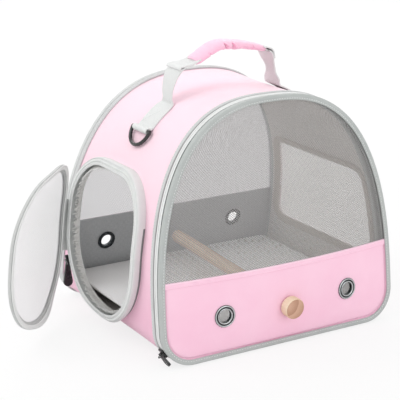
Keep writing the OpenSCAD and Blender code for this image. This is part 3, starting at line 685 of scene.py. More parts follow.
class Recipe:
    """A material being mixed from nodes."""

    def __init__(self, name: str) -> None:
        """Starts an empty material with a Principled shader."""
        self.material = bpy.data.materials.new(name)
        self.material.use_nodes = True
        self.tree = self.material.node_tree
        self.tree.nodes.clear()
        self.output = self.tree.nodes.new("ShaderNodeOutputMaterial")
        self.shader = self.tree.nodes.new("ShaderNodeBsdfPrincipled")
        self.tree.links.new(self.shader.outputs[0], self.output.inputs["Surface"])

    def node(self, kind: str, **settings: object) -> bpy.types.Node:
        """A new node with its settings."""
        made = self.tree.nodes.new(kind)
        for key, value in settings.items():
            setattr(made, key, value)
        return made

    def feed(self, socket: bpy.types.NodeSocket, value: object) -> None:
        """Links a socket, or sets its plain value."""
        if isinstance(value, bpy.types.NodeSocket):
            self.tree.links.new(value, socket)
        else:
            socket.default_value = value

    def coords(self, kind: str) -> bpy.types.NodeSocket:
        """The UV or Object coordinates."""
        return self.node("ShaderNodeTexCoord").outputs[kind]

    def mapped(self, vector: bpy.types.NodeSocket, scale: Sequence[float],
               turn: Sequence[float] = (0, 0, 0), shift: Sequence[float] = (0, 0, 0)) -> bpy.types.NodeSocket:
        """Coordinates after a shift, a turn in degrees and a scale."""
        made = self.node("ShaderNodeMapping")
        self.feed(made.inputs["Vector"], vector)
        made.inputs["Location"].default_value = shift
        made.inputs["Rotation"].default_value = [math.radians(a) for a in turn]
        made.inputs["Scale"].default_value = scale
        return made.outputs[0]

    def math(self, operation: str, a: object, b: object = 0.0) -> bpy.types.NodeSocket:
        """One step of arithmetic."""
        made = self.node("ShaderNodeMath", operation=operation)
        self.feed(made.inputs[0], a)
        self.feed(made.inputs[1], b)
        return made.outputs[0]

    def noise(self, vector: bpy.types.NodeSocket, scale: float, detail: float = 3.0) -> bpy.types.NodeSocket:
        """Fractal noise from 0 to 1."""
        made = self.node("ShaderNodeTexNoise")
        self.feed(made.inputs["Vector"], vector)
        made.inputs["Scale"].default_value = scale
        made.inputs["Detail"].default_value = detail
        return made.outputs["Fac"]

    def span(self, value: bpy.types.NodeSocket, low: float, high: float,
             to_low: float = 0.0, to_high: float = 1.0) -> bpy.types.NodeSocket:
        """A value moved from one range to another and kept inside it."""
        made = self.node("ShaderNodeMapRange", clamp=True)
        self.feed(made.inputs["Value"], value)
        for key, number in zip(("From Min", "From Max", "To Min", "To Max"), (low, high, to_low, to_high)):
            made.inputs[key].default_value = number
        return made.outputs[0]

    def blend(self, share: object, first: object, second: object) -> bpy.types.NodeSocket:
        """A colour between two colours."""
        made = self.node("ShaderNodeMix", data_type="RGBA")
        self.feed(made.inputs[0], share)
        self.feed(made.inputs[6], first)
        self.feed(made.inputs[7], second)
        return made.outputs[2]

    def bump(self, height: bpy.types.NodeSocket, depth: float, strength: float,
             under: Optional[bpy.types.NodeSocket] = None) -> bpy.types.NodeSocket:
        """A normal bent by a height, given in millimetres."""
        made = self.node("ShaderNodeBump")
        made.inputs["Strength"].default_value = strength
        made.inputs["Distance"].default_value = depth * MM
        self.feed(made.inputs["Height"], height)
        if under is not None:
            self.feed(made.inputs["Normal"], under)
        return made.outputs[0]

    def parts(self, vector: bpy.types.NodeSocket) -> bpy.types.bpy_prop_collection:
        """X, Y and Z of coordinates, each a socket of its own."""
        split = self.node("ShaderNodeSeparateXYZ")
        self.feed(split.inputs[0], vector)
        return split.outputs

    def threads(self, vector: bpy.types.NodeSocket, pitch: float) -> bpy.types.NodeSocket:
        """Height of a plain weave, from -1 to 1, its threads a pitch in millimetres apart."""
        along, across = self.parts(vector)[:2]
        u = self.math("MULTIPLY", along, math.pi / (pitch * MM))
        v = self.math("MULTIPLY", across, math.pi / (pitch * MM))
        return self.math("MULTIPLY", self.math("SINE", u), self.math("SINE", v))

    def ribs(self, vector: bpy.types.NodeSocket, pitch: float, axis: int) -> bpy.types.NodeSocket:
        """Height of ribs that follow one another along an axis, from -1 to 1."""
        return self.math("SINE", self.math("MULTIPLY", self.parts(vector)[axis], 2 * math.pi / (pitch * MM)))

    def set(self, **values: object) -> None:
        """Sets or links sockets of the shader, with _ for a space in their names."""
        for key, value in values.items():
            self.feed(self.shader.inputs[key.replace("_", " ")], value)


@dataclass(frozen=True)
class Finish:
    """What every finish has: a name and a way to make its material."""

    name: str
    slot: str

    def mix(self, recipe: Recipe) -> None:
        """Fills the recipe; each kind of finish has its own."""
        raise NotImplementedError

    def material(self) -> bpy.types.Material:
        """The finish's material, made once."""
        known = bpy.data.materials.get(self.name)
        if known is None:
            recipe = Recipe(self.name)
            self.mix(recipe)
            known = recipe.material
        return known


@dataclass(frozen=True)
class CoatedCloth(Finish):
    """Fine woven polyester with a soft coating, as on the shell."""

    colour: str = "FBC9E0"
    shade: str = "F3B4D1"
    pitch: float = 0.55
    relief: float = 0.05
    roughness: float = 0.62
    sheen: float = 0.12
    # Painted light: a paler colour blended in towards the top, where more light falls, between two heights in
    # metres.
    painted_top_light: str = "FBC9E0"
    painted_light_heights: tuple[float, float] = (0.04, 0.2)

    def mix(self, recipe: Recipe) -> None:
        """Weave, mottled dye, painted light that pales the colour with height, handling creases and a dull
        sheen.
        """
        uv = recipe.coords("UV")
        solid = recipe.coords("Object")
        cloudy = recipe.noise(solid, 26.0, 4.0)
        fine = recipe.noise(recipe.mapped(uv, (1400, 1400, 1)), 1.0, 2.0)
        weave = recipe.threads(uv, self.pitch)
        dye = recipe.span(cloudy, 0.35, 0.7, 0.0, 0.45)
        grain = recipe.span(recipe.math("ADD", recipe.math("MULTIPLY", weave, 0.25), fine), 0.2, 1.0, 0.0, 0.22)
        # Painted light: the colour pales with height, as if the top caught more light.
        height = recipe.span(recipe.parts(solid)[2], *self.painted_light_heights)
        tone = recipe.blend(dye, linear(self.colour), linear(self.shade))
        tone = recipe.blend(grain, tone, linear(self.shade))
        recipe.set(Base_Color=recipe.blend(recipe.math("MULTIPLY", height, 0.85), tone, linear(self.painted_top_light)))
        recipe.set(Roughness=recipe.span(cloudy, 0.3, 0.75, self.roughness - 0.07, self.roughness + 0.08))
        recipe.set(Sheen_Weight=self.sheen, Sheen_Roughness=0.4, Specular_IOR_Level=0.32)
        slack = recipe.bump(recipe.noise(solid, 34.0, 3.0), 1.1, 0.35)
        recipe.set(Normal=recipe.bump(weave, self.relief, 0.6, slack))


@dataclass(frozen=True)
class HeatherCloth(Finish):
    """Plain woven lining of mixed light and dark yarns."""

    colour: str = "8B8B8C"
    yarn: str = "6F7073"
    light: str = "A3A3A5"
    pitch: float = 0.8
    relief: float = 0.09
    roughness: float = 0.85

    def mix(self, recipe: Recipe) -> None:
        """Mixed yarns drawn out along both thread directions, and slack waves."""
        uv = recipe.coords("UV")
        solid = recipe.coords("Object")
        warp = recipe.noise(recipe.mapped(uv, (220, 1500, 1)), 1.0, 2.0)
        weft = recipe.noise(recipe.mapped(uv, (1500, 220, 1), shift=(3, 7, 0)), 1.0, 2.0)
        weave = recipe.threads(uv, self.pitch)
        dark = recipe.blend(recipe.span(warp, 0.42, 0.62), linear(self.colour), linear(self.yarn))
        both = recipe.blend(recipe.span(weft, 0.48, 0.7, 0.0, 0.7), dark, linear(self.light))
        stain = recipe.span(recipe.noise(solid, 18.0, 4.0), 0.35, 0.75, 0.0, 0.18)
        recipe.set(Base_Color=recipe.blend(stain, both, linear(self.yarn)))
        recipe.set(Roughness=self.roughness, Sheen_Weight=0.1, Specular_IOR_Level=0.2)
        slack = recipe.bump(recipe.noise(solid, 22.0, 3.0), 2.0, 0.4)
        recipe.set(Normal=recipe.bump(weave, self.relief, 0.7, slack))


@dataclass(frozen=True)
class RibbedTape(Finish):
    """Grosgrain tape: cross ribs, woven edges and a little soiling."""

    colour: str = "D3D7D5"
    shade: str = "AEB3B2"
    rib: float = 1.0
    relief: float = 0.14
    roughness: float = 0.7
    cord: float = 0.0

    def mix(self, recipe: Recipe) -> None:
        """Cross ribs, lengthwise yarns and painted shade in the valleys between ribs."""
        uv = recipe.coords("UV")
        solid = recipe.coords("Object")
        ribs = recipe.ribs(uv, self.rib, 0)
        yarn = recipe.noise(recipe.mapped(uv, (180, 2200, 1)), 1.0, 2.0)
        lines = recipe.ribs(uv, self.cord if self.cord else 0.9, 1)
        # Painted shade: the low places between ribs are darkened where shade would fall.
        painted_rib_shade = recipe.span(ribs, -1.0, 0.2, 0.34, 0.0)
        dust = recipe.span(recipe.noise(solid, 40.0, 4.0), 0.4, 0.8, 0.0, 0.3)
        tone = recipe.blend(painted_rib_shade, linear(self.colour), linear(self.shade))
        tone = recipe.blend(recipe.span(yarn, 0.3, 0.8, 0.0, 0.25), tone, linear(self.shade))
        recipe.set(Base_Color=recipe.blend(dust, tone, linear(self.shade)))
        recipe.set(Roughness=recipe.span(yarn, 0.2, 0.8, self.roughness - 0.06, self.roughness + 0.08))
        recipe.set(Sheen_Weight=0.15, Specular_IOR_Level=0.3)
        first = recipe.bump(ribs, self.relief, 0.7)
        recipe.set(Normal=recipe.bump(lines, self.relief * 0.5, 0.4 if self.cord else 0.18, first))


@dataclass(frozen=True)
class Webbing(Finish):
    """Flat polyester webbing: lengthwise ridges crossed by fine picks."""

    colour: str = "D9DCDB"
    shade: str = "B3B7B7"
    ridge: float = 1.6
    pick: float = 0.75
    relief: float = 0.22

    def mix(self, recipe: Recipe) -> None:
        """Twill chevrons over ridges, with painted shade in the gaps between them."""
        uv = recipe.coords("UV")
        solid = recipe.coords("Object")
        along, across = recipe.parts(uv)[:2]
        slant = recipe.math("ADD", along, recipe.math("PINGPONG", across, self.ridge * MM))
        picks = recipe.math("SINE", recipe.math("MULTIPLY", slant, 2 * math.pi / (self.pick * MM)))
        ridges = recipe.ribs(uv, self.ridge, 1)
        height = recipe.math("ADD", recipe.math("MULTIPLY", ridges, 0.6), recipe.math("MULTIPLY", picks, 0.4))
        # Painted shade: the low places between ridges and picks are darkened where shade would fall.
        gap = recipe.span(height, -1.0, 0.1, 0.45, 0.0)
        fuzz = recipe.span(recipe.noise(recipe.mapped(uv, (900, 900, 1)), 1.0, 2.0), 0.35, 0.75, 0.0, 0.3)
        tone = recipe.blend(gap, linear(self.colour), linear(self.shade))
        tone = recipe.blend(fuzz, tone, linear(self.shade))
        worn = recipe.span(recipe.noise(solid, 60.0, 3.0), 0.45, 0.8, 0.0, 0.25)
        recipe.set(Base_Color=recipe.blend(worn, tone, linear("E6E8E7")))
        recipe.set(Roughness=0.72, Sheen_Weight=0.12, Specular_IOR_Level=0.3)
        recipe.set(Normal=recipe.bump(height, self.relief, 0.8))


@dataclass(frozen=True)
class OpenMesh(Finish):
    """Open knitted mesh: round holes between soft threads."""

    colour: str = "B4B2B1"
    shade: str = "969494"
    pitch: float = 1.9
    hole: float = 0.33
    gloss: float = 0.45
    veil: float = 0.0

    def mix(self, recipe: Recipe) -> None:
        """Round holes in staggered rows cut by alpha, threads of two tones between.

        A veil stands for hairs too fine to draw, which fill part of every hole.
        """
        uv = recipe.coords("UV")
        slanted = recipe.mapped(uv, (1, 1, 1), turn=(0, 0, 45))
        weave = recipe.threads(slanted, self.pitch)
        lobe = recipe.math("ABSOLUTE", weave)
        solid = recipe.span(lobe, self.hole - 0.1, self.hole + 0.1, 1.0, self.veil)
        yarn = recipe.noise(recipe.mapped(uv, (500, 1300, 1)), 1.0, 2.0)
        tone = recipe.blend(recipe.span(yarn, 0.3, 0.7), linear(self.colour), linear(self.shade))
        recipe.set(Base_Color=tone, Roughness=self.gloss, Specular_IOR_Level=0.4, Alpha=solid)
        recipe.set(Normal=recipe.bump(recipe.math("MULTIPLY", lobe, -1.0), 0.12, 0.3))


@dataclass(frozen=True)
class Wood(Finish):
    """Sanded beech, with rings at its ends and flecks along its sides."""

    light: str = "EAD3B0"
    dark: str = "C79F74"
    axis: Sequence[float] = (0.0, -1.0, 0.0)
    centre: Sequence[float] = (0.0, 0.0, 0.0)
    ring: float = 2.2
    roughness: float = 0.55

    def mix(self, recipe: Recipe) -> None:
        """Growth rings round an off-centre pith and fine flecks along the grain."""
        solid = recipe.coords("Object")
        turn = Vector(self.axis).normalized().rotation_difference(Vector((0, 0, 1))).to_euler()
        shift = -(turn.to_matrix() @ Vector(self.centre)) * MM
        grain = recipe.mapped(solid, (1, 1, 1), [math.degrees(a) for a in turn],
                              (shift.x + 0.009, shift.y - 0.006, shift.z))
        wave = recipe.node("ShaderNodeTexWave", wave_type="RINGS", rings_direction="Z", wave_profile="SAW")
        recipe.feed(wave.inputs["Vector"], grain)
        wave.inputs["Scale"].default_value = 1.0 / (self.ring * MM) / 20.0
        wave.inputs["Distortion"].default_value = 2.2
        wave.inputs["Detail"].default_value = 2.0
        wave.inputs["Detail Scale"].default_value = 1.4
        fleck = recipe.noise(recipe.mapped(grain, (1600, 1600, 90)), 1.0, 3.0)
        tone = recipe.blend(recipe.span(wave.outputs["Fac"], 0.15, 1.0, 0.0, 0.8),
                            linear(self.light), linear(self.dark))
        recipe.set(Base_Color=recipe.blend(recipe.span(fleck, 0.5, 0.72, 0.0, 0.5), tone, linear(self.dark)))
        recipe.set(Roughness=recipe.span(fleck, 0.3, 0.8, self.roughness - 0.08, self.roughness + 0.12))
        recipe.set(Specular_IOR_Level=0.3, Normal=recipe.bump(fleck, 0.08, 0.5))


@dataclass(frozen=True)
class Metal(Finish):
    """Bare or painted metal with fine scratches and smudges."""

    colour: str = "9A9C9F"
    worn: str = "C8C9CB"
    metallic: float = 1.0
    roughness: float = 0.22
    brushed: float = 0.35
    coat: float = 0.0

    def mix(self, recipe: Recipe) -> None:
        """Scratches, smudges and rubbed high spots."""
        solid = recipe.coords("Object")
        smudge = recipe.noise(solid, 130.0, 4.0)
        lines = recipe.noise(recipe.mapped(solid, (3200, 260, 900), turn=(0, 30, 20)), 1.0, 2.0)
        rub = recipe.span(recipe.noise(solid, 420.0, 3.0), 0.58, 0.75, 0.0, 0.5)
        recipe.set(Base_Color=recipe.blend(rub, linear(self.colour), linear(self.worn)))
        recipe.set(Metallic=self.metallic, Coat_Weight=self.coat, Coat_Roughness=0.12)
        recipe.set(Roughness=recipe.span(smudge, 0.3, 0.75, self.roughness, self.roughness + 0.16))
        recipe.set(Normal=recipe.bump(lines, 0.02, self.brushed))


@dataclass(frozen=True)
class Board(Finish):
    """Stiff board covered in brushed felt or left as pressed fibre."""

    colour: str = "C9CACA"
    shade: str = "AEB0B1"
    pitch: float = 1.1

    def mix(self, recipe: Recipe) -> None:
        """Matted fibres, pressed flat, with scuffs."""
        solid = recipe.coords("Object")
        fibre = recipe.noise(recipe.mapped(solid, (500, 900, 500)), 1.0, 4.0)
        cross = recipe.noise(recipe.mapped(solid, (900, 300, 900), turn=(0, 0, 40)), 1.0, 3.0)
        scuff = recipe.span(recipe.noise(solid, 30.0, 4.0), 0.42, 0.78, 0.0, 0.35)
        tone = recipe.blend(recipe.span(fibre, 0.35, 0.7), linear(self.colour), linear(self.shade))
        recipe.set(Base_Color=recipe.blend(scuff, tone, linear(self.colour)))
        recipe.set(Roughness=recipe.span(cross, 0.2, 0.8, 0.7, 0.95), Specular_IOR_Level=0.25)
        height = recipe.math("ADD", fibre, cross)
        recipe.set(Normal=recipe.bump(height, self.pitch * 0.2, 0.5))


# The paler colour of each pink towards the top is painted light.
PINK = CoatedCloth("pink_cloth", "pink_fabric", colour="F5C5DA", shade="ECB1CA", painted_top_light="FCE0EA", sheen=0.4)
PANEL_PINK = CoatedCloth("pink_panel_cloth", "pink_fabric", colour="FACFE2", shade="F4BED6", painted_top_light="FBD1E3")
GRIP_PINK = CoatedCloth("pink_grip_cloth", "pink_fabric", colour="F9C3DA", shade="F0AECB", painted_top_light="F9C6DC",
                        relief=0.07, roughness=0.55, sheen=0.5)
LINING = HeatherCloth("grey_lining", "dark_lining", colour="E1DDD9", yarn="D0CBC7", light="EBE8E5")
DARK_LINING = HeatherCloth("dark_grey_lining", "dark_lining", colour="B7B9BB", yarn="A9ACAE", light="C2C4C6")
# Near-white cut edge of the lining: partly its own pale colour, partly painted light raised to stand out from
# the shade under the collar.
RAW_EDGE = HeatherCloth("frayed_lining_edge", "dark_lining", colour="F2F2F0", yarn="DCDCDA", light="FBFBFA")
TAPE = RibbedTape("grey_tape", "grey_binding", colour="D8DADA", shade="B2B6B5")
BINDING = RibbedTape("grey_binding_tape", "grey_binding", colour="C3C8C6", shade="979D9C", cord=1.3)
BACK_BINDING = RibbedTape("back_binding_tape", "grey_binding", colour="DDE0DF", shade="B7BCBB", cord=1.3)
DOOR_RIM = RibbedTape("door_edge_tape", "grey_binding", colour="D6D8D7", shade="AFB3B2", cord=1.1, relief=0.2)
# A dark tape finish that stands for the shade in grooves and along contact lines: painted shade.
PAINTED_GROOVE_SHADE = RibbedTape("tape_groove_painted_shade", "grey_binding", colour="7C8281", shade="5F6564", rib=0.8, relief=0.05)
WINDOW_TAPE = RibbedTape("window_edge_tape", "grey_binding", colour="CFC6BE", shade="B0A69E", cord=1.2)
ZIP_TAPE = RibbedTape("zip_tape", "grey_binding", colour="F0F2F1", shade="D0D4D3", rib=0.8, relief=0.07,
                      cord=0.7)
SOFT_RIM = RibbedTape("collar_tape", "grey_binding", colour="E6E8E7", shade="C4C8C7", rib=0.9, relief=0.08)
THREAD = Webbing("sewing_thread", "grey_binding", colour="EEEFEF", shade="C9CCCC", ridge=0.4, pick=0.3,
                 relief=0.05)
# Pale pink thread, also laid on the front hem's top edge as a painted highlight.
PINK_THREAD_AND_HEM_HIGHLIGHT = CoatedCloth("pink_thread_and_hem_highlight", "pink_fabric", colour="FBE3EE", shade="F1C4D9", pitch=0.3)
STRAP = Webbing("grey_webbing_cloth", "grey_webbing", colour="EDEFEE", shade="CCD0D0")
MESH = OpenMesh("window_mesh_cloth", "mesh")
SIDE_MESH = OpenMesh("side_mesh_cloth", "mesh", colour="F0ECE7", shade="DFDBD6", hole=0.2, pitch=1.5,
                     veil=0.42)
BACK_MESH = OpenMesh("back_mesh_cloth", "mesh", colour="F3F2F6", shade="E6E5EA", hole=0.2, pitch=1.3,
                     veil=0.45)
DOOR_MESH = OpenMesh("door_mesh_cloth", "mesh", colour="FAFAFB", shade="EBEBEE", hole=0.4, pitch=1.5)
FOAM = Board("white_foam_sheet", "white_foam", colour="F1F1EF", shade="DEDEDB", pitch=1.6)
WHITE_BOARD = Board("white_base_board", "white_board", colour="ECECE9", shade="DCDCD8")
FLOOR = Board("grey_felt_board", "grey_board", colour="FDFDFD", shade="F4F4F5")
STEEL = Metal("eyelet_metal", "eyelet_steel", colour="B9BDBE", worn="DADCDC", roughness=0.14)
# Dark metal, used whole on the washers and as painted reflection and shade on the eyelets' rings.
DARK_STEEL_AND_PAINTED_REFLECTION = Metal("eyelet_dark_metal", "eyelet_steel", colour="3C4042", worn="55595B", roughness=0.2)
PLAIN_STEEL = Metal("plain_steel", "fastener_steel", colour="A6A7A6", roughness=0.32)
WIRE = Metal("spring_wire_steel", "spring_wire", colour="9B9C9E", roughness=0.3)
BLACK = Metal("black_enamel", "black_metal", colour="1B1D1F", worn="2B2E31", metallic=0.15,
              roughness=0.2, coat=0.5)
INSIDE = Vector((0.0, 0.0, 0.12))


def dress(obj: bpy.types.Object, finish: Finish) -> bpy.types.Object:
    """Gives a piece its one material."""
    obj.data.materials.clear()
    obj.data.materials.append(finish.material())
    return obj


def settle(obj: bpy.types.Object, body: Body, finish: Finish, *nodes: str) -> bpy.types.Object:
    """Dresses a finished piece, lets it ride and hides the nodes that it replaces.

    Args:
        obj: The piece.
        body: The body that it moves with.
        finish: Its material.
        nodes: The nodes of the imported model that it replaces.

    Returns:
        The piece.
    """
    dress(obj, finish)
    if nodes:
        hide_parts(*nodes)
    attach(obj, body.value)
    LOG.info("%s: %d faces on %s", obj.name, len(obj.data.polygons), body.value)
    return obj


def settle_bent(obj: bpy.types.Object, body: Body, finish: Finish, nodes: Sequence[str]) -> bpy.types.Object:
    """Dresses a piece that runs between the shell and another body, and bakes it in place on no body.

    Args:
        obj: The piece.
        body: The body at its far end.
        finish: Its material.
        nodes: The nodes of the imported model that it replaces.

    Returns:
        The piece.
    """
    dress(obj, finish)
    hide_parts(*nodes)
    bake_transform(obj)
    LOG.info("%s: %d faces, bends between shell and %s", obj.name, len(obj.data.polygons), body.value)
    return obj


def cloth_area(obj: bpy.types.Object) -> float:
    """Area of a sheet's faces in square metres."""
    return sum(p.area for p in obj.data.polygons)


def declare_cloth(obj: bpy.types.Object, area: float, width: float, length: float,
                  rests_on: Sequence[str] = ()) -> None:
    """Takes a sewn-in sheet of cloth and the size of its cut, and does nothing with them.

    Args:
        obj: The sheet; not used.
        area: Its cut area in square metres; not used.
        width: Width of the cut in millimetres; not used.
        length: Length of the cut in millimetres; not used.
        rests_on: What it is stretched on.
    """
    list(rests_on)


# ---- Sub-assemblies


@dataclass
class Shell:
    """The cover, foam and lining that run round the arch between the two rims."""

    cover_in: float = 2.2
    foam_in: float = 3.4
    lining_in: float = 6.4
    shell_in: float = 7.2
    front_from: float = 14.5
    back_from: float = 4.7
    slack: float = 1.6
    cut_width: float = 262.0

    def sag(self, x: np.ndarray, z: np.ndarray, share: np.ndarray) -> np.ndarray:
        """How far the cloth hangs in between its two rims, in millimetres."""
        middle = (4 * share * (1 - share)) ** 1.2
        crown = ease(z, 262, 284) * self.slack * 1.4
        side = (1 - ease(z, 200, 250)) * 0.9
        ripple = 0.35 * wander(x / 34, z / 29, share * 5)
        return middle * (crown + side + 0.25 + ripple)

    def sheet(self, name: str, inset: float, along: int, across: int, whole: bool) -> bpy.types.Object:
        """A sheet round the arch at an inset, from the front rim to the back rim.

        Args:
            name: Name of the piece.
            inset: Inset of its outer face.
            along: Number of steps round the arch.
            across: Number of steps from front to back.
            whole: Whether it runs under the base too.

        Returns:
            The sheet as an open surface.
        """
        foot = 0.0 if whole else ARCH.share_of_base()
        share = np.linspace(foot, 1 - foot, along + 1)[:, None]
        depth = np.linspace(0, 1, across + 1)[None, :]
        x, z = ARCH.at(share, inset)
        sag = self.sag(x, z, depth)
        x, z = ARCH.at(share + 0 * depth, inset + sag)
        front = ARCH.front(z) + self.front_from
        back = ARCH.back(z) - self.back_from
        y = front + (back - front) * depth
        points = np.stack([x, y, z], 2)
        if whole:
            return lofted(name, points[:-1], round_u=True)
        return lofted(name, points)

    def open_sides(self, obj: bpy.types.Object, inset: float) -> None:
        """Cuts the door and the window into a sheet."""
        for side, loop, hole in ((-1, DOOR_LOOP, 2.5), (1, WINDOW_LOOP, 0.0)):
            def test(co: np.ndarray, side: int = side, loop: Loop = loop, hole: float = hole
                     ) -> tuple[np.ndarray, np.ndarray]:
                """Signed distance of the sheet's points to the opening."""
                signed = np.full(len(co), 100.0)
                target = co.copy()
                near = (co[:, 0] * side > 60) & (co[:, 2] > 8) & (co[:, 2] < 216)
                found, line = loop.depth(co[near, 1], co[near, 2], hole)
                signed[near] = found
                target[near, 1:] = line
                target[near, 0] = side * ARCH.width(line[:, 1], inset)
                return signed, target
            cut_hole(obj, test)

    def build(self) -> None:
        """Makes the three layers and the tapes over their edges."""
        layers = (
            ("shell_cover", self.cover_in, self.foam_in - self.cover_in - 0.1, (300, 72), PINK,
             ("gusset", "base_cover")),
            ("shell_foam", self.foam_in, self.lining_in - self.foam_in - 0.1, (150, 40), FOAM,
             ("gusset_foam",)),
            ("shell_lining", self.lining_in, self.shell_in - self.lining_in, (220, 56), LINING,
             ("gusset_lining", "base_lining")))
        for name, inset, wall, steps, finish, nodes in layers:
            whole = finish is not FOAM
            layer = face_out(self.sheet(name, inset, *steps, whole), INSIDE)
            self.open_sides(layer, inset)
            area = cloth_area(layer)
            thicken(layer, wall)
            settle(layer, Body.SHELL, finish, *nodes)
            if whole:
                declare_cloth(layer, area, self.cut_width, ARCH.perimeter())
        self.seam_tapes()

    def seam_tapes(self) -> None:
        """Turned tapes that cover the edges of foam and lining inside both rims."""
        share = ring_shares(260)
        profile = softened([(7.6, -3.2), (8.1, 0.6), (4.4, 0.9), (3.8, 0.1), (7.2, -0.3), (7.25, -3.2)], 2)
        for name, plane, start, sign in (("front_seam_tape", ARCH.front, self.front_from, -1),
                                         ("back_seam_tape", ARCH.back, self.back_from, 1)):
            x, z = ARCH.at(share, profile[None, :, 0])
            y = plane(z) - sign * start + sign * profile[None, :, 1]
            piece = lofted(name, np.stack([x, y, z], 2), True, True)
            settle(piece, Body.SHELL, BINDING)


@dataclass
class Rims:
    """Tapes, zip and bindings that run round the front and the back arch."""

    steps: int = 340
    binding: Sequence[tuple[float, float]] = (
        (6.5, -0.3), (7.1, -1.3), (6.9, -1.9), (5.9, -2.2), (4.9, -1.75), (4.1, -2.2), (2.2, -2.3), (0.7, -1.7),
        (0.4, 0.2), (0.45, 3.2), (1.3, 4.5), (4.5, 4.7), (6.6, 4.5), (7.0, 3.6), (7.0, 2.4),
        (3.7, 2.35), (3.7, -0.35))
    rim_tape: Sequence[tuple[float, float]] = (
        (2.6, 14.7), (1.0, 14.6), (0.2, 15.2), (0.0, 16.2), (0.0, 17.5), (0.4, 18.5), (0.05, 19.1),
        (0.8, 19.9), (2.3, 20.1), (2.6, 17.0))
    zip_tape: Sequence[tuple[float, float]] = (
        (3.9, 5.0), (3.6, 5.9), (2.0, 6.1), (1.1, 6.7), (0.8, 7.8), (0.85, 9.25), (2.1, 9.5),
        (2.1, 10.1), (0.85, 10.35), (0.8, 11.8), (1.1, 12.8), (2.0, 13.3), (3.6, 13.5), (3.9, 14.6),
        (4.1, 14.6), (4.15, 9.8), (4.1, 5.0))
    back_tape: Sequence[tuple[float, float]] = (
        (2.6, 6.0), (1.0, 5.9), (0.2, 6.4), (0.0, 7.4), (0.0, 10.4), (0.4, 11.3), (0.05, 11.9),
        (0.8, 12.9), (2.3, 13.1), (2.6, 9.0))

    def sweep(self, name: str, profile: np.ndarray, front: bool) -> bpy.types.Object:
        """A closed band with one section all round the front or the back arch."""
        share = ring_shares(self.steps)
        x, z = ARCH.at(share, profile[None, :, 0])
        y = ARCH.front(z) + profile[None, :, 1] if front else ARCH.back(z) - profile[None, :, 1]
        return lofted(name, np.stack([x, y, z], 2), True, True)

    def row(self, inset: float, depth: float, front: bool, out: Sequence[float]
            ) -> tuple[np.ndarray, np.ndarray]:
        """A closed line on a band and the direction out of it.

        Args:
            inset: Inset of the line.
            depth: Its distance behind the front plane, or before the back plane.
            front: Whether it follows the front arch.
            out: Weights of the radial and of the forward direction.

        Returns:
            Points and outward directions.
        """
        share = np.linspace(0, 1, 400)
        x, z = ARCH.at(share, inset)
        x2, z2 = ARCH.at(share, inset - 1)
        y = ARCH.front(z) + depth if front else ARCH.back(z) - depth
        radial = np.stack([x2 - x, 0 * x, z2 - z], 1)
        radial /= np.linalg.norm(radial, axis=1)[:, None]
        ahead = np.array([0.0, -1.0 if front else 1.0, 0.0])
        return np.stack([x, y, z], 1), radial * out[0] + ahead * out[1]

    def shade_groove(self, obj: bpy.types.Object, deep: float) -> None:
        """Gives the sunken faces of a band a dark finish that paints the shade in its groove."""
        obj.data.materials.append(PAINTED_GROOVE_SHADE.material())
        for p in obj.data.polygons:
            x, z = p.center.x / MM, p.center.z / MM
            if z < ARCH.start:
                inset = float(ARCH.inset(np.array(x), np.array(z)))
            else:
                dome = (abs(x / ARCH.half_width) ** ARCH.power
                        + ((z - ARCH.start) / (ARCH.height - ARCH.start)) ** ARCH.power) ** (1 / ARCH.power)
                inset = (1 - dome) * math.hypot(x, z - ARCH.start)
            p.material_index = int(inset > deep)

    def build(self) -> None:
        """Makes the bands and sews them."""
        for name, section, front, body, finish, node in (
                ("front_rim_band", self.rim_tape, True, Body.SHELL, TAPE, "front_rim_tape"),
                ("front_zip_band", self.zip_tape, True, Body.SHELL, ZIP_TAPE, "front_zip"),
                ("front_panel_binding", self.binding, True, Body.FRONT, BINDING, "front_binding"),
                ("back_panel_binding", self.binding, False, Body.SHELL, BACK_BINDING, "back_binding"),
                ("back_rim_band", self.back_tape, False, Body.SHELL, TAPE, "back_rim_tape")):
            band = settle(self.sweep(name, softened(section), front), body, finish, node)
            # Painted shade: the zip band's deep groove takes the dark finish.
            if finish is ZIP_TAPE:
                self.shade_groove(band, 1.75)
        for name, inset, depth, front, body, out in (
                ("front_binding_stitches", 4.95, -1.85, True, Body.FRONT, (0.0, 1.0)),
                ("back_binding_stitches", 4.95, -1.85, False, Body.SHELL, (0.0, 1.0)),
                ("front_rim_stitches", 0.35, 18.55, True, Body.SHELL, (1.0, 0.0)),
                ("back_rim_stitches", 0.35, 11.35, False, Body.SHELL, (1.0, 0.0))):
            settle(stitches(name, *self.row(inset, depth, front, out)), body, THREAD)


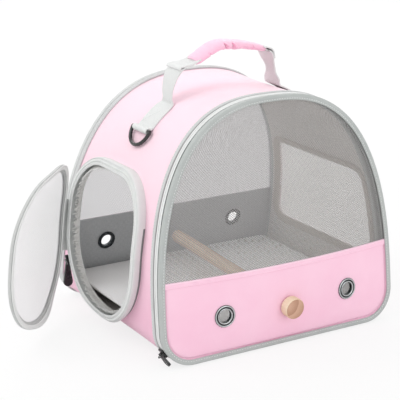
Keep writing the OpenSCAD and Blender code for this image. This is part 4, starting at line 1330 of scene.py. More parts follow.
@dataclass
class Wall:
    """An end of the carrier: cloth and lining with two eyelets below, mesh above."""

    name: str
    body: Body
    rests_on: str
    inward: int
    top: float
    edge: float
    hem_edge: float
    cloth_length: float
    mesh_length: float
    eyelets: Sequence[tuple[float, float]]
    hem: float = 6.0
    cover: float = 1.2
    lining: float = 0.8
    hole: float = 8.4
    crown: float = 281.8
    cloth_width: float = 320.0
    mesh_width: float = 322.0

    def face(self, x: np.ndarray, z: np.ndarray) -> np.ndarray:
        """Y of the wall's outer face; each wall has its own."""
        raise NotImplementedError

    def grid(self, rows: np.ndarray, cols: int, depth: float) -> np.ndarray:
        """Points of a sheet that follows the face at a depth behind it."""
        across = crowded(cols + 1)[None, :]
        z = rows[:, None] + 0 * across
        x = ARCH.width(z, self.edge) * across
        return np.stack([x, self.face(x, z) + self.inward * depth, z], 2)

    def sheets(self, rows: np.ndarray, extra: Sequence[tuple[float, float, float]] = ()) -> None:
        """Makes cloth and lining, with the eyelets' holes and any extra ones.

        Args:
            rows: Heights of the rows of points.
            extra: X, Z and radius of further holes.
        """
        holes = [(x, z, self.hole) for x, z in self.eyelets] + list(extra)
        for part, depth, wall, finish, node in (
                ("cloth", 0.0, self.cover, PANEL_PINK, "cover"),
                ("lining", self.cover, self.lining, DARK_LINING, "lining")):
            sheet = face_out(lofted(f"{self.name}_panel_{part}", self.grid(rows, 120, depth)), INSIDE)
            pierce(sheet, holes, lambda x, z, depth=depth: self.face(x, z) + self.inward * depth)
            area = cloth_area(sheet)
            thicken(sheet, wall)
            settle(sheet, self.body, finish, f"{self.name}_{node}")
            declare_cloth(sheet, area, self.cloth_width, self.cloth_length, [self.rests_on])

    def mesh(self, finish: Finish) -> None:
        """Makes the mesh between the hem and the crown."""
        rows = self.top - 0.8 + (self.crown - self.top) * np.sin(np.linspace(0, np.pi / 2, 60))
        mesh = face_out(lofted(f"{self.name}_mesh_cloth", self.grid(rows, 72, 0.5)), INSIDE)
        settle(mesh, self.body, finish, f"{self.name}_mesh")
        declare_cloth(mesh, cloth_area(mesh), self.mesh_width, self.mesh_length, [self.rests_on])

    def hem_pieces(self, across: np.ndarray, fold: Sequence[tuple[float, float]],
                   facing: Sequence[tuple[float, float]]) -> bpy.types.Object:
        """Makes the turned hem outside and its facing inside, and returns the hem."""
        made = []
        for part, outline, finish, nodes in (("fold", fold, PANEL_PINK, [f"{self.name}_hem"]),
                                             ("facing", facing, DARK_LINING, [])):
            section = softened(outline, 2)
            z = section[None, :, 0] + 0 * across
            x = ARCH.width(z, self.hem_edge) * across
            y = self.face(x, z) + self.inward * section[None, :, 1]
            piece = lofted(f"{self.name}_hem_{part}", np.stack([x, y, z], 2), False, True)
            made.append(settle(piece, self.body, finish, *nodes))
        return made[0]

    def hem_stitches(self, reach: float, count: int, rise: float, out: float) -> None:
        """Sews the hem with one row of stitches.

        Args:
            reach: Half length of the row.
            count: Number of points of its path.
            rise: Height of the row above the hem's lower edge.
            out: Distance of the row outside the face.
        """
        x = np.linspace(-reach, reach, count)
        z = 0 * x + self.top - self.hem + rise
        path = np.stack([x, self.face(x, z) - self.inward * out, z], 1)
        away = np.tile([0.0, -float(self.inward), 0.0], (count, 1))
        settle(stitches(f"{self.name}_hem_stitches", path, away, 3.0), self.body, PINK_THREAD_AND_HEM_HIGHLIGHT)

    def set_eyelets(self, frames: Sequence[Matrix]) -> None:
        """Presses the eyelets in."""
        Eyelets(f"{self.name}_eyelet", self.body, frames, f"{self.name}_eyelets",
                f"{self.name}_eyelet_washers").build()


@dataclass
class FrontPanel(Wall):
    """The zipped front, bulged, with the bolt hole of the perch."""

    name: str = "front"
    body: Body = Body.FRONT
    rests_on: str = "front_panel_binding"
    inward: int = 1
    top: float = 98.0
    edge: float = 4.2
    hem_edge: float = 5.2
    cloth_length: float = 100.0
    mesh_length: float = 192.0
    eyelets: Sequence[tuple[float, float]] = ((-81.0, 51.0), (89.0, 51.0))
    low: float = 5.0
    bolt_hole: tuple[float, float, float] = (4.0, 48.0, 3.6)

    def face(self, x: np.ndarray, z: np.ndarray) -> np.ndarray:
        """Y of the bulged face."""
        return ARCH.panel(x, z)

    def grid(self, rows: np.ndarray, cols: int, depth: float) -> np.ndarray:
        """The sheet, drawn in a little along the seam with the binding."""
        points = super().grid(rows, cols, depth)
        x, z = points[..., 0], points[..., 2]
        points[..., 1] += 1.4 * np.exp(-((ARCH.inset(x, z) - 7.5) / 1.1) ** 2) * (z < self.top + 0.5)
        return points

    def build(self) -> None:
        """Makes the cloth, the hem, the mesh and the eyelets."""
        low, top = self.top - self.hem, self.top
        rows = np.concatenate([np.linspace(self.low, 11.0, 14), np.linspace(12.5, top, 36)])
        self.sheets(rows, [self.bolt_hole])
        fold = [(low, -0.1), (low + 0.1, -0.75), (low + 1.4, -0.95), (low + 1.9, -0.6), (low + 2.4, -0.95),
                (top - 1.6, -1.0), (top - 0.2, -1.05), (top + 0.6, -0.4), (top + 0.6, 0.6), (top, 0.95),
                (top - 0.9, 0.6), (top - 0.9, 0.0)]
        facing = [(top + 0.35, 1.0), (top + 0.2, 2.0), (top - 1.0, 2.3), (low + 0.5, 2.3), (low, 2.05),
                  (top - 0.9, 1.75), (top - 0.7, 1.0)]
        hem = self.hem_pieces(crowded(121)[:, None], fold, facing)
        # Painted highlight: the hem's top edge takes the pale thread finish to look lit.
        hem.data.materials.append(PINK_THREAD_AND_HEM_HIGHLIGHT.material())
        for p in hem.data.polygons:
            p.material_index = int(p.center.z / MM > top - 0.75)
        self.hem_stitches(148, 200, 1.9, 0.7)
        self.mesh(MESH)
        self.set_eyelets([ARCH.panel_frame(x, z) for x, z in self.eyelets])


@dataclass
class Eyelets:
    """Pairs of pressed metal eyelets with their washers."""

    name: str
    body: Body
    frames: Sequence[Matrix]
    node: str
    washer_node: str
    bore: float = 7.5
    outer: float = 13.0

    def lathe(self, name: str, section: Sequence[tuple[float, float]], frames: Sequence[Matrix],
              steps: int = 64) -> bpy.types.Object:
        """One mesh of a turned section in each frame."""
        profile = softened(section, 2, 0.22)
        angles = np.linspace(0, 2 * np.pi, steps + 1)[:-1, None]
        ring = np.stack([profile[None, :, 0] * np.cos(angles), profile[None, :, 0] * np.sin(angles),
                         profile[None, :, 1] + 0 * angles], 2)
        parts = [lofted(f"{name}_{k}", moved(ring, frame), True, True) for k, frame in enumerate(frames)]
        return joined(name, parts[0], parts[1:])

    def build(self) -> None:
        """Makes the rolled flanges and the washers behind them."""
        r, o = self.bore, self.outer
        flange = [(r, -3.8), (r, -0.4), (r, 0.5), (r + 0.4, 1.3), (r + 1.2, 1.7), (r + 1.9, 1.3),
                  (r + 2.5, 0.75), (r + 3.1, 0.85), (o - 1.8, 1.5), (o - 1.2, 1.65), (o - 0.4, 1.25),
                  (o, 0.6), (o - 0.1, 0.12), (o - 1.0, 0.12), (r + 1.0, 0.12), (r + 0.8, -0.3),
                  (r + 0.8, -3.8)]
        eyelet = self.lathe(self.name, flange, self.frames)
        settle(eyelet, self.body, STEEL, self.node)
        # Painted reflection and shade: the valley between the rolls, the bore and the outer edge take the dark
        # finish.
        eyelet.data.materials.append(DARK_STEEL_AND_PAINTED_REFLECTION.material())
        for p in eyelet.data.polygons:
            here = [frame.inverted() @ (p.center / MM) for frame in self.frames]
            spot = min(here, key=lambda v: v.length)
            away = math.hypot(spot.x, spot.y)
            p.material_index = int(r + 1.75 < away < o - 2.0 or (away < r + 1.2 and spot.z < 0.7)
                                   or away > o - 0.4)
        washer = [(r + 0.9, -3.6), (o - 1.2, -3.5), (o - 1.0, -3.0), (o - 1.4, -2.55), (r + 1.6, -2.5),
                  (r + 0.9, -2.7)]
        plate = self.lathe(self.name + "_washer", washer, self.frames)
        settle(plate, self.body, DARK_STEEL_AND_PAINTED_REFLECTION, self.washer_node)


@dataclass
class BackPanel(Wall):
    """The sewn-in back, flat on its leaning plane."""

    name: str = "back"
    body: Body = Body.SHELL
    rests_on: str = "back_panel_binding"
    inward: int = -1
    top: float = 101.0
    edge: float = 3.8
    hem_edge: float = 6.0
    cloth_length: float = 101.0
    mesh_length: float = 198.0
    eyelets: Sequence[tuple[float, float]] = ((-95.0, 68.0), (95.0, 68.0))
    low: float = 4.4

    def face(self, x: np.ndarray, z: np.ndarray) -> np.ndarray:
        """Y of the back plane."""
        return ARCH.back(z)

    def build(self) -> None:
        """Makes cloth, lining, mesh, hem and eyelets."""
        low, top = self.top - self.hem, self.top
        self.sheets(np.linspace(self.low, top, 36))
        self.mesh(BACK_MESH)
        fold = [(low, 0.05), (low + 0.1, -0.7), (low + 2.5, -0.85), (top - 0.6, -0.85), (top + 0.4, -0.4),
                (top + 0.3, 0.2), (top - 0.9, 0.2), (top - 0.9, 0.0)]
        facing = [(top + 0.4, 0.25), (top + 0.5, 1.2), (top - 0.3, 2.25), (low + 0.5, 2.3), (low, 2.05),
                  (top - 0.9, 1.75), (top - 0.9, 0.3)]
        self.hem_pieces(np.linspace(-1, 1, 61)[:, None], fold, facing)
        self.hem_stitches(146, 120, 1.6, 0.8)
        self.set_eyelets([ARCH.back_frame(x, z) for x, z in self.eyelets])


@dataclass
class SideDoor:
    """The round collar on the left side, its zip, and the door that hangs open on it."""

    face: float = -9.8
    open_angle: float = 45.0
    hinge: tuple[float, float, float] = (-169.8, 87.0, 115.0)
    lean: float = 0.055
    hinge_low: float = 77.0
    hinge_high: float = 142.0
    bend_height: float = 107.0
    tape_wall: float = 0.7
    mesh_cut: tuple[float, float] = (190.0, 205.0)

    def pose(self) -> Matrix:
        """The turn that carries the closed door to where it hangs open."""
        spot = Matrix.Translation(self.hinge)
        axis = Vector((-self.lean, 0, 1)).normalized()
        return spot @ Matrix.Rotation(math.radians(-self.open_angle), 4, axis) @ spot.inverted()

    def ring(self, name: str, section: np.ndarray, steps: int, open_door: bool) -> bpy.types.Object:
        """A closed band round the door's outline.

        Args:
            name: Name of the piece.
            section: Closed section as rows of inset in the outline and inset in the arch.
            steps: Number of steps round the outline.
            open_door: Whether the band is on the door and not on the collar.

        Returns:
            The band.
        """
        share = ring_shares(steps)
        y, z = DOOR_LOOP.at(share, section[None, :, 0])
        x = -ARCH.width(z, section[None, :, 1])
        points = np.stack([x, y, z], 2)
        if open_door:
            points = moved(points, self.pose())
        return lofted(name, points, True, True)

    def line(self, inset: float, out: float) -> tuple[np.ndarray, np.ndarray]:
        """A closed line on the collar's face and its outward directions."""
        share = np.linspace(0, 1, 400)
        y, z = DOOR_LOOP.at(share, inset)
        path = np.stack([-ARCH.width(z, out), y, z], 1)
        further = np.stack([-ARCH.width(z, out - 2), y, z], 1)
        away = further - path
        return path, away / np.linalg.norm(away, axis=1)[:, None]

    def build(self) -> None:
        """Makes the collar, the zip coil, the door's edging and its mesh."""
        collar = softened([(3.0, 7.2), (3.0, 3.2), (2.5, 2.3), (1.9, 0.9), (1.3, -1.0), (0.4, -3.6),
                           (-0.2, -6.6), (-0.1, -8.6), (0.5, -9.3), (0.9, -9.2), (1.1, -8.3), (1.5, -8.3),
                           (1.7, -9.6), (2.4, -10.0), (4.5, -10.0), (4.8, -9.0), (5.3, -9.0), (5.6, -9.95),
                           (7.4, -9.8), (8.9, -9.2), (9.0, -8.4), (7.6, -8.0), (5.0, -7.9), (3.7, -7.2),
                           (3.5, -2.0), (3.5, 7.2)], 2)
        band = self.ring("door_collar_band", collar, 240, False)
        settle(band, Body.SHELL, SOFT_RIM, "door_collar")
        # Painted shadow: faces at the foot of the collar's outer wall, below 150 mm, take the dark groove
        # finish where the collar meets the cover.
        band.data.materials.append(PAINTED_GROOVE_SHADE.material())
        for p in band.data.polygons:
            x, z = p.center.x / MM, p.center.z / MM
            out = -x - float(ARCH.width(z, 0.0))
            p.material_index = int(z < 150 and out < 1.0 and p.normal.z * (z - 103) + p.normal.y
                                   * p.center.y / MM > 0)
        path, out = self.line(3.5, self.face - 0.15)
        coil = repeated("door_zip_coil", bead(2.7, 0.95, 1.1), frames_along(path, out, 1.55, True))
        settle(coil, Body.SHELL, ZIP_TAPE, "door_zip")
        path, out = self.line(7.3, self.face - 0.12)
        settle(stitches("collar_stitches", path, out), Body.SHELL, THREAD)
        self.raw_edge()
        self.door()
        self.hinge_tape()

    def raw_edge(self) -> None:
        """The lining's raw edge, turned out under the collar, uneven where it was cut."""
        share = ring_shares(1080)
        y, z = DOOR_LOOP.at(share, 3.5)
        loose = np.clip(ease(y, -10, 40) + ease(-z, -64, -36) * ease(y, -75, -30), 0, 1)
        rough = 0.8 * wander(share * 190, share * 310) + 1.5 * wander(share * 640, share * 930, seed=3.0)
        rough = (rough + 2.0 * np.abs(wander(share * 810, seed=5.0))) * (0.3 + 1.2 * loose)
        reach = np.array([3.4, 4.6, 7.4, 10.0, 9.6, 6.2, 3.4])[None, :]
        depth = np.array([5.0, 2.6, 0.4, -1.2, -0.2, 4.0, 6.8])[None, :]
        grow = np.array([0, 0.35, 0.8, 1.0, 1.0, 0.4, 0])[None, :]
        y, z = DOOR_LOOP.at(share, reach + (0.8 * rough + 1.6 * loose) * grow)
        x = -ARCH.width(z, depth - (1.9 * rough + 0.8 * loose) * grow)
        piece = lofted("collar_raw_edge", np.stack([x, y, z], 2), True, True)
        # The raw edge's whiteness is partly painted light against the shade under the collar.
        settle(piece, Body.SHELL, RAW_EDGE)

    def door(self) -> None:
        """The door's zip tape, its folded binding and the mesh in its groove."""
        tape = softened([(0.6, -12.3), (0.5, -11.3), (1.2, -10.95), (3.4, -11.2), (4.6, -10.9),
                         (5.7, -10.95), (6.0, -11.6), (5.7, -12.35)], 2)
        settle(self.ring("door_zip_tape", tape, 220, True), Body.DOOR, ZIP_TAPE, "door_tape")
        edge = softened([(0.3, -12.6), (0.0, -13.6), (0.1, -15.2), (0.9, -16.2), (2.9, -16.45),
                         (4.4, -16.0), (5.2, -16.3), (7.4, -16.35), (8.7, -15.9), (9.0, -14.9),
                         (3.9, -14.6), (3.9, -13.6), (9.0, -13.4), (8.8, -12.7), (6.4, -12.45),
                         (2.5, -12.4)], 2)
        settle(self.ring("door_edge_binding", edge, 240, True), Body.DOOR, DOOR_RIM, "door_binding")
        y, z = DOOR_LOOP.patch(20.8, 201.2, 3.8, 64, 57)
        share = np.linspace(-1, 1, 57)[None, :]
        slack = (1 - share ** 2) * np.sin(np.linspace(0, np.pi, 64))[:, None]
        x = -ARCH.width(z, -14.1 - slack * (0.9 + 0.5 * wander(y / 17, z / 23)))
        mesh = lofted("door_mesh_cloth", moved(np.stack([x, y, z], 2), self.pose()))
        settle(mesh, Body.DOOR, DOOR_MESH, "door_mesh")
        declare_cloth(mesh, cloth_area(mesh), *self.mesh_cut, ["door_edge_binding"])
        y, z = DOOR_LOOP.at(np.linspace(0, 1, 400), 4.4)
        outer = np.stack([-ARCH.width(z, -16.25), y, z], 1)
        away = np.stack([-ARCH.width(z, -18), y, z], 1) - outer
        path = moved(outer, self.pose())
        out = np.array([self.pose().to_3x3() @ Vector(a) for a in away])
        settle(stitches("door_binding_stitches", path, out), Body.DOOR, THREAD)

    def hinge_tape(self) -> None:
        """The folded tape that bends between the collar and the door."""
        pose = self.pose()
        heights = np.linspace(self.hinge_low, self.hinge_high, 24)
        rows = []
        for z in heights:
            wide = float(ARCH.width(z, 0.0))
            collar = [(-(wide - 1.0), 86.35), (-(wide + 4.5), 86.45), (-(wide + 7.8), 86.75)]
            line = self.hinge[0] - self.lean * (z - self.hinge[2])
            door = [(-(wide + 11.6), 86.6), (-(wide + 14.0), 86.4), (-(wide + 15.6), 86.2)]
            row = [Vector((x, y, z)) for x, y in [*collar, (line, 87.75)]]
            row += [pose @ Vector((x, y, z)) for x, y in door]
            rows.append([list(p) for p in row])
        points = np.array(rows)
        fine = np.empty((len(heights), 25, 3))
        key = np.linspace(0, 1, points.shape[1])
        for k in range(3):
            for r in range(len(heights)):
                fine[r, :, k] = np.interp(np.linspace(0, 1, 25), key, points[r, :, k])
        for _ in range(3):
            fine[:, 1:-1] = (fine[:, :-2] + 2 * fine[:, 1:-1] + fine[:, 2:]) / 4
        tape = lofted("door_hinge_fold", fine)
        face_out(tape, Vector((-0.16, 0.0, 0.11)))
        modifier = tape.modifiers.new("wall", "SOLIDIFY")
        modifier.thickness = self.tape_wall * MM
        modifier.offset = 1.0
        smooth(apply_all(tape), 60)
        settle_bent(tape, Body.DOOR, DOOR_RIM, ["door_hinge_tape"])


@dataclass
class SideWindow:
    """The mesh window in the right side with its binding."""

    mesh_in: float = 4.3
    mesh_cut: tuple[float, float] = (210.0, 111.0)

    def build(self) -> None:
        """Makes the mesh, the inner binding and the stitched edge outside."""
        y, z = WINDOW_LOOP.patch(67.7, 178.3, -1.4, 50, 61)
        x = ARCH.width(z, self.mesh_in)
        mesh = lofted("side_window_mesh", np.stack([x, y, z], 2))
        face_out(mesh, INSIDE)
        settle(mesh, Body.SHELL, SIDE_MESH, "window_mesh")
        declare_cloth(mesh, cloth_area(mesh), *self.mesh_cut, ["shell_cover"])
        share = ring_shares(220)
        section = softened([(1.6, 7.2), (1.4, 6.2), (1.0, 5.0), (0.1, 5.2), (0.0, 7.1), (-5.6, 7.15),
                            (-7.2, 7.5), (-7.6, 8.6), (-6.6, 9.2), (-3.0, 8.3), (0.6, 8.1)], 2)
        y, z = WINDOW_LOOP.at(share, section[None, :, 0])
        loose = ease(-y, 85, 105)
        pucker = wander(z / 3.1, z / 4.7) * (0.25 + 0.9 * loose)
        y, z = WINDOW_LOOP.at(share, section[None, :, 0] + pucker * 0.6)
        raised = ease(section[None, :, 1], 7.15, 8.1)
        x = ARCH.width(z, section[None, :, 1] + raised * (0.5 + 0.7 * pucker))
        settle(lofted("window_binding_band", np.stack([x, y, z], 2), True, True), Body.SHELL, WINDOW_TAPE,
               "window_binding")
        line = np.linspace(0, 1, 300)
        for name, off, deep, toward, finish in (("window_outer_stitches", -3.2, 2.15, 1, PINK_THREAD_AND_HEM_HIGHLIGHT),
                                                ("window_inner_stitches", -3.4, 8.1, -1, THREAD)):
            y, z = WINDOW_LOOP.at(line, off)
            path = np.stack([ARCH.width(z, deep), y, z], 1)
            out = np.tile([float(toward), 0.0, 0.15 * toward], (300, 1))
            settle(stitches(name, path, out), Body.SHELL, finish)


@dataclass
class FloorBoard:
    """The stiff board on two folded legs."""

    top: float = 34.0
    wall: float = 3.5
    chamfer: float = 10.0
    leg_half: float = 110.0
    front_gap: float = 17.5
    back_gap: float = 7.7

    def build(self) -> None:
        """Shapes the board from boxes, bevels it and rests it on its legs."""
        low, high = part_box("floor_board")
        low, high = low / MM, high / MM
        clear_bench()
        bpy.ops.mesh.primitive_cube_add(size=2.0)
        plate = bpy.context.object
        under = self.top - self.wall
        for v in plate.data.vertices:
            v.co = Vector((math.copysign(high.x, v.co.x), v.co.y, under if v.co.z < 0 else self.top))
        front = [float(ARCH.front(z)) + self.front_gap for z in (under, self.top)]
        back = [float(ARCH.back(z)) - self.back_gap for z in (under, self.top)]
        for v in plate.data.vertices:
            k = 1 if v.co.z > self.top - 1 else 0
            v.co.y = front[k] if v.co.y < 0 else back[k]
        mesh = bmesh.new()
        mesh.from_mesh(plate.data)
        corners = [e for e in mesh.edges if abs(e.verts[0].co.z - e.verts[1].co.z) > 1]
        bmesh.ops.bevel(mesh, geom=corners, offset=self.chamfer, segments=3, profile=0.6, affect="EDGES")
        mesh.to_mesh(plate.data)
        mesh.free()
        joined("floor_board_panel", plate, self.legs(low.z, front[0], back[0]))
        bevelled(plate, 0.8)
        place(plate, Matrix.Identity(4))
        smooth(plate, 35)
        settle(plate, Body.SHELL, FLOOR, "floor_board")

    def legs(self, low: float, front: float, back: float) -> list[bpy.types.Object]:
        """The two folded legs along the front and the back edge."""
        made = []
        for y, lean, sign in ((front, ARCH.front_lean, 1), (back, -ARCH.back_lean, -1)):
            clear_bench()
            bpy.ops.mesh.primitive_cube_add(size=2.0)
            obj = bpy.context.object
            for v in obj.data.vertices:
                z = low if v.co.z < 0 else self.top - self.wall + 0.2
                near = (v.co.y < 0) == (sign > 0)
                edge = y - lean * (self.top - self.wall - z)
                v.co = Vector((math.copysign(self.leg_half, v.co.x),
                               edge + (0.0 if near else sign * self.wall), z))
            made.append(obj)
        return made


@dataclass
class Perch:
    """The dowel inside, its hanger bolt, and the knob that screws on from outside."""

    spot: tuple[float, float] = (4.0, 48.0)
    tilt: float = 3.95398
    start: float = -4.1206
    length: float = 254.0
    radius: float = 8.0
    knob_from: float = 1.16194
    knob_radius: float = 12.5
    knob_length: float = 12.0

    def frame(self) -> Matrix:
        """Frame of the perch's axis, its Z out of the front panel."""
        return ARCH.panel_frame(*self.spot) @ turned(self.tilt, 0, 0)

    def turned_piece(self, name: str, section: Sequence[tuple[float, float]], steps: int,
                     shape: Optional[Callable[[np.ndarray, np.ndarray], np.ndarray]] = None
                     ) -> bpy.types.Object:
        """A piece turned about the perch's axis, closed where its section meets it."""
        profile = np.array(section, float)
        angle = np.linspace(0, 2 * np.pi, steps + 1)[:-1, None]
        radius = profile[None, :, 0] + 0 * angle
        if shape is not None:
            radius = radius + shape(angle, profile[None, :, 1]) * (radius > 0.5)
        points = np.stack([radius * np.cos(angle), radius * np.sin(angle),
                           profile[None, :, 1] + 0 * angle], 2)
        return lofted(name, moved(points, self.frame()), True, False)

    def build(self) -> None:
        """Turns the dowel and the knob."""
        r, end = self.radius, self.start - self.length
        axis = self.frame().to_3x3() @ Vector((0, 0, 1))
        centre = self.frame() @ Vector((0, 0, 0))
        grain, face, cap = (
            Wood(name, "wood", light=light, dark=dark, axis=tuple(axis), centre=tuple(centre), ring=ring,
                 roughness=roughness)
            for name, light, dark, ring, roughness in (("perch_beech", "F0DAC4", "D2B297", 2.2, 0.6),
                                                       ("knob_beech", "F3E3C6", "DDBE98", 3.1, 0.5),
                                                       ("knob_end_grain", "CFA991", "AC8068", 2.0, 0.62)))
        section = [(0, self.start), (r - 1.0, self.start), (r - 0.35, self.start - 0.3), (r, self.start - 1.1)]
        section += [(r, z) for z in np.linspace(self.start - 6, end + 8, 44)]
        section += [(r, end + 3.0), (r - 0.4, end + 1.2), (r - 1.4, end + 0.3), (r - 2.6, end), (0, end)]
        dowel = self.turned_piece("perch_dowel", section, 40,
                                  lambda a, z: (0.12 * np.sin(2 * a + z / 37)
                                                + 0.1 * np.sin(3 * a - z / 23) - 0.1))
        settle(smooth(dowel, 35), Body.FRONT, grain, "perch")
        r, low, top = self.knob_radius, self.knob_from, self.knob_from + self.knob_length
        section = [(0, low), (r - 1.4, low), (r - 0.5, low + 0.4), (r - 0.1, low + 1.4), (r, low + 3.0),
                   (r, top - 2.4), (r - 0.15, top - 1.1), (r - 0.7, top - 0.35), (r - 1.5, top - 0.05),
                   (r - 2.5, top), (r * 0.6, top), (r * 0.3, top), (0, top)]
        knob = self.turned_piece("perch_knob_turned", section, 72)
        settle(smooth(knob, 30), Body.KNOB, face, "perch_knob")
        knob.data.materials.append(cap.material())
        out = axis.normalized()
        limit = (centre + out * (top - 0.3)) * MM
        for p in knob.data.polygons:
            if (p.center - limit).dot(out) > 0 and p.normal.dot(out) > 0.9:
                p.material_index = 1


@dataclass
class Carry:
    """Straps on the dome, their rings, and the padded handle."""

    y: float = -12.0112
    width: float = 32.0
    wall: float = 1.8
    legs: tuple[float, float] = (-73.0, 63.0)
    leg_z: tuple[float, float] = (279.33, 283.689)
    loop: tuple[float, float] = (115.0, 244.35)
    rise_left: Sequence[tuple[float, float]] = (
        (-80.6, 275.0), (-79.4, 283.0), (-77.2, 292.0), (-74.4, 301.0), (-71.6, 307.0), (-68.6, 310.6),
        (-64.5, 312.4))
    rise_right: Sequence[tuple[float, float]] = (
        (62.6, 286.0), (61.2, 292.0), (60.2, 299.0), (58.6, 305.0), (56.4, 311.0), (54.4, 316.5),
        (52.6, 319.6), (49.0, 321.2))

    def grip_line(self, share: np.ndarray) -> tuple[np.ndarray, np.ndarray, np.ndarray, np.ndarray]:
        """The grip's middle line as it sits: a steep left part, then a long flat one.

        Args:
            share: Places along the grip from -1 to 1.

        Returns:
            X and Z of the line, and X and Z of its upward normal.
        """
        key = np.array([(-49, 314.6), (-45, 316.9), (-31, 325.0), (-20, 330.3), (-12, 332.4), (-5, 332.4),
                        (18, 329.3), (37, 325.3), (47, 322.4), (51, 320.9)])
        line = relaxed(key, 22, count=161)
        step = np.gradient(line, axis=0)
        step /= np.linalg.norm(step, axis=1)[:, None]
        spot = (np.asarray(share, float) * 0.955 + 1) / 2 * 160
        found = [np.interp(spot, np.arange(161), col) for col in (*line.T, -step[:, 1], step[:, 0])]
        return found[0], found[1], found[2], found[3]

    def path(self, side: Side) -> np.ndarray:
        """Middle line of one strap: round the ring's bar, over the dome and up to the grip."""
        s = side.value
        cx, cz = s * self.loop[0], self.loop[1]
        turn = np.radians(np.linspace(250, 20, 26)) if s < 0 else np.radians(np.linspace(-70, 160, 26))
        radius = 3.15
        around = np.stack([cx + radius * np.cos(turn), cz + radius * np.sin(turn)], 1)
        x = s * np.linspace(109.5, 79.5 if s < 0 else 64.5, 26)
        dome = np.stack([x, ARCH.top(x, 1.3)], 1)
        rise = self.rise_left if s < 0 else self.rise_right
        line = np.concatenate([around, dome, np.array(rise, float)])
        return relaxed(line, 4, pitch=1.2)

    def ribbon(self, name: str, line: np.ndarray, width: np.ndarray, wall: float,
               shift: Optional[np.ndarray] = None) -> bpy.types.Object:
        """A flat band of webbing along a line in X and Z, with rounded edges."""
        step = np.gradient(line, axis=0)
        step /= np.linalg.norm(step, axis=1)[:, None]
        normal = np.stack([-step[:, 1], step[:, 0]], 1)
        half = wall / 2
        section = softened([(-1, -half * 0.6), (-0.985, -half), (-0.5, -half), (0.5, -half), (0.985, -half),
                            (1, -half * 0.6), (1, half * 0.6), (0.985, half), (0.5, half), (-0.5, half),
                            (-0.985, half), (-1, half * 0.6)], 1)
        offset = 0 if shift is None else shift[:, None]
        x = line[:, 0][:, None] + normal[:, 0][:, None] * section[None, :, 1]
        z = line[:, 1][:, None] + normal[:, 1][:, None] * section[None, :, 1]
        y = self.y + offset + section[None, :, 0] * (width / 2)[:, None]
        obj = lofted(name, np.stack([x, y, z], 2), False, True)
        return smooth(capped(obj), 50)

    def straps(self) -> None:
        """Each strap runs from its ring over the dome and on up to the grip."""
        for side, nodes in ((Side.LEFT, ("strap_left", "handle_foot_left")),
                            (Side.RIGHT, ("strap_right", "handle_foot_right"))):
            s = side.value
            line = self.path(side)
            high = line[:, 1]
            if s < 0:
                slim = 0.36 * ease(high, 264, 277) * (1 - np.clip((high - 277) / 30, 0, 1))
            else:
                slim = 0.38 * ease(high, 284, 295) * (1 - ease(high, 299, 316))
            width = self.width * (1 - slim)
            twist = 2.2 * ease(high, 274, 288) * (1 - ease(high, 298, 310))
            strap = self.ribbon(f"strap_{side.name.lower()}_webbing", line, width, self.wall, -s * twist)
            settle_bent(strap, Body.HANDLE, STRAP, nodes)
            self.box_stitch(side)

    def box_stitch(self, side: Side) -> None:
        """The sewn box with a cross that holds a strap to the dome."""
        s = side.value
        near, far = 84.0, 106.0
        edge = self.width / 2 - 3.2
        a, b, c, d = (near, -edge), (far, -edge), (far, edge), (near, edge)
        pieces = [np.linspace(p, q, 24) for p, q in ((a, b), (b, c), (c, d), (d, a), (a, c), (b, d))]
        frames: list[Matrix] = []
        for piece in pieces:
            x = s * piece[:, 0]
            path = np.stack([x, self.y + piece[:, 1], ARCH.top(x, 0.35)], 1)
            tilt = ARCH.top(x + 0.5, 0.35) - ARCH.top(x - 0.5, 0.35)
            out = np.stack([-tilt, 0 * x, 0 * x + 1], 1)
            frames += frames_along(path, out, 3.2)
        row = repeated(f"strap_{side.name.lower()}_stitches", bead(2.3, 0.7, 0.55), frames)
        settle(row, Body.SHELL, THREAD)

    def grip(self) -> None:
        """The padded grip: a wrapped cushion with a lapped seam and pressed creases."""
        along, around = 300, 72
        s = np.linspace(-1, 1, along + 1)[:, None]
        angle = np.linspace(0, 2 * np.pi, around + 1)[None, :-1]
        crown = 0.84 + 0.16 * np.cos(np.pi / 2 * s) ** 0.6
        pinch = 1 - 0.12 * ease(np.abs(s), 0.93, 1.0) - 0.12 * ease(s, 0.45, 0.9)
        c, n = np.cos(angle), np.sin(angle)
        wide = np.sign(c) * np.abs(c) ** (2 / 2.3) * 15.4 * crown * pinch
        thick = np.sign(n) * np.abs(n) ** (2 / 2.3) * 5.4 * crown * pinch
        low = ease(-0.75 * n - 0.75 * c, -0.05, 0.95)
        press = 1.0 + 0 * s * c
        for spot, size, depth in ((-0.175, 0.028, 0.56), (0.03, 0.032, 0.58), (-0.62, 0.02, 0.12),
                                  (0.58, 0.02, 0.12)):
            slant = (s - spot + 0.05 * (n + 0.4)) / (size * (0.35 + 0.65 * low))
            press = press - depth * low * np.exp(-slant ** 2)
            press = press + 0.16 * depth * low * np.exp(-((np.abs(slant) - 2.4) / 1.1) ** 2)
        lap = ease(-n - 0.25 * c, 0.30, 0.38) * ease(s, 0.22, 0.3)
        press = press - 0.13 * lap
        sag = 1 + 0.018 * wander(s * 26, angle * 2 + s * 9)
        wide, thick = wide * press * sag, thick * press * sag
        gx, gz, nx, nz = self.grip_line(s)
        points = np.stack([gx + thick * nx, self.y + wide, gz + thick * nz], 2)
        grip = lofted("handle_grip_pad", points, False, True)
        capped(grip, lambda: bpy.ops.mesh.inset(thickness=0.0016, depth=-0.0006))
        settle(smooth(grip, 50), Body.HANDLE, GRIP_PINK, "handle_grip")

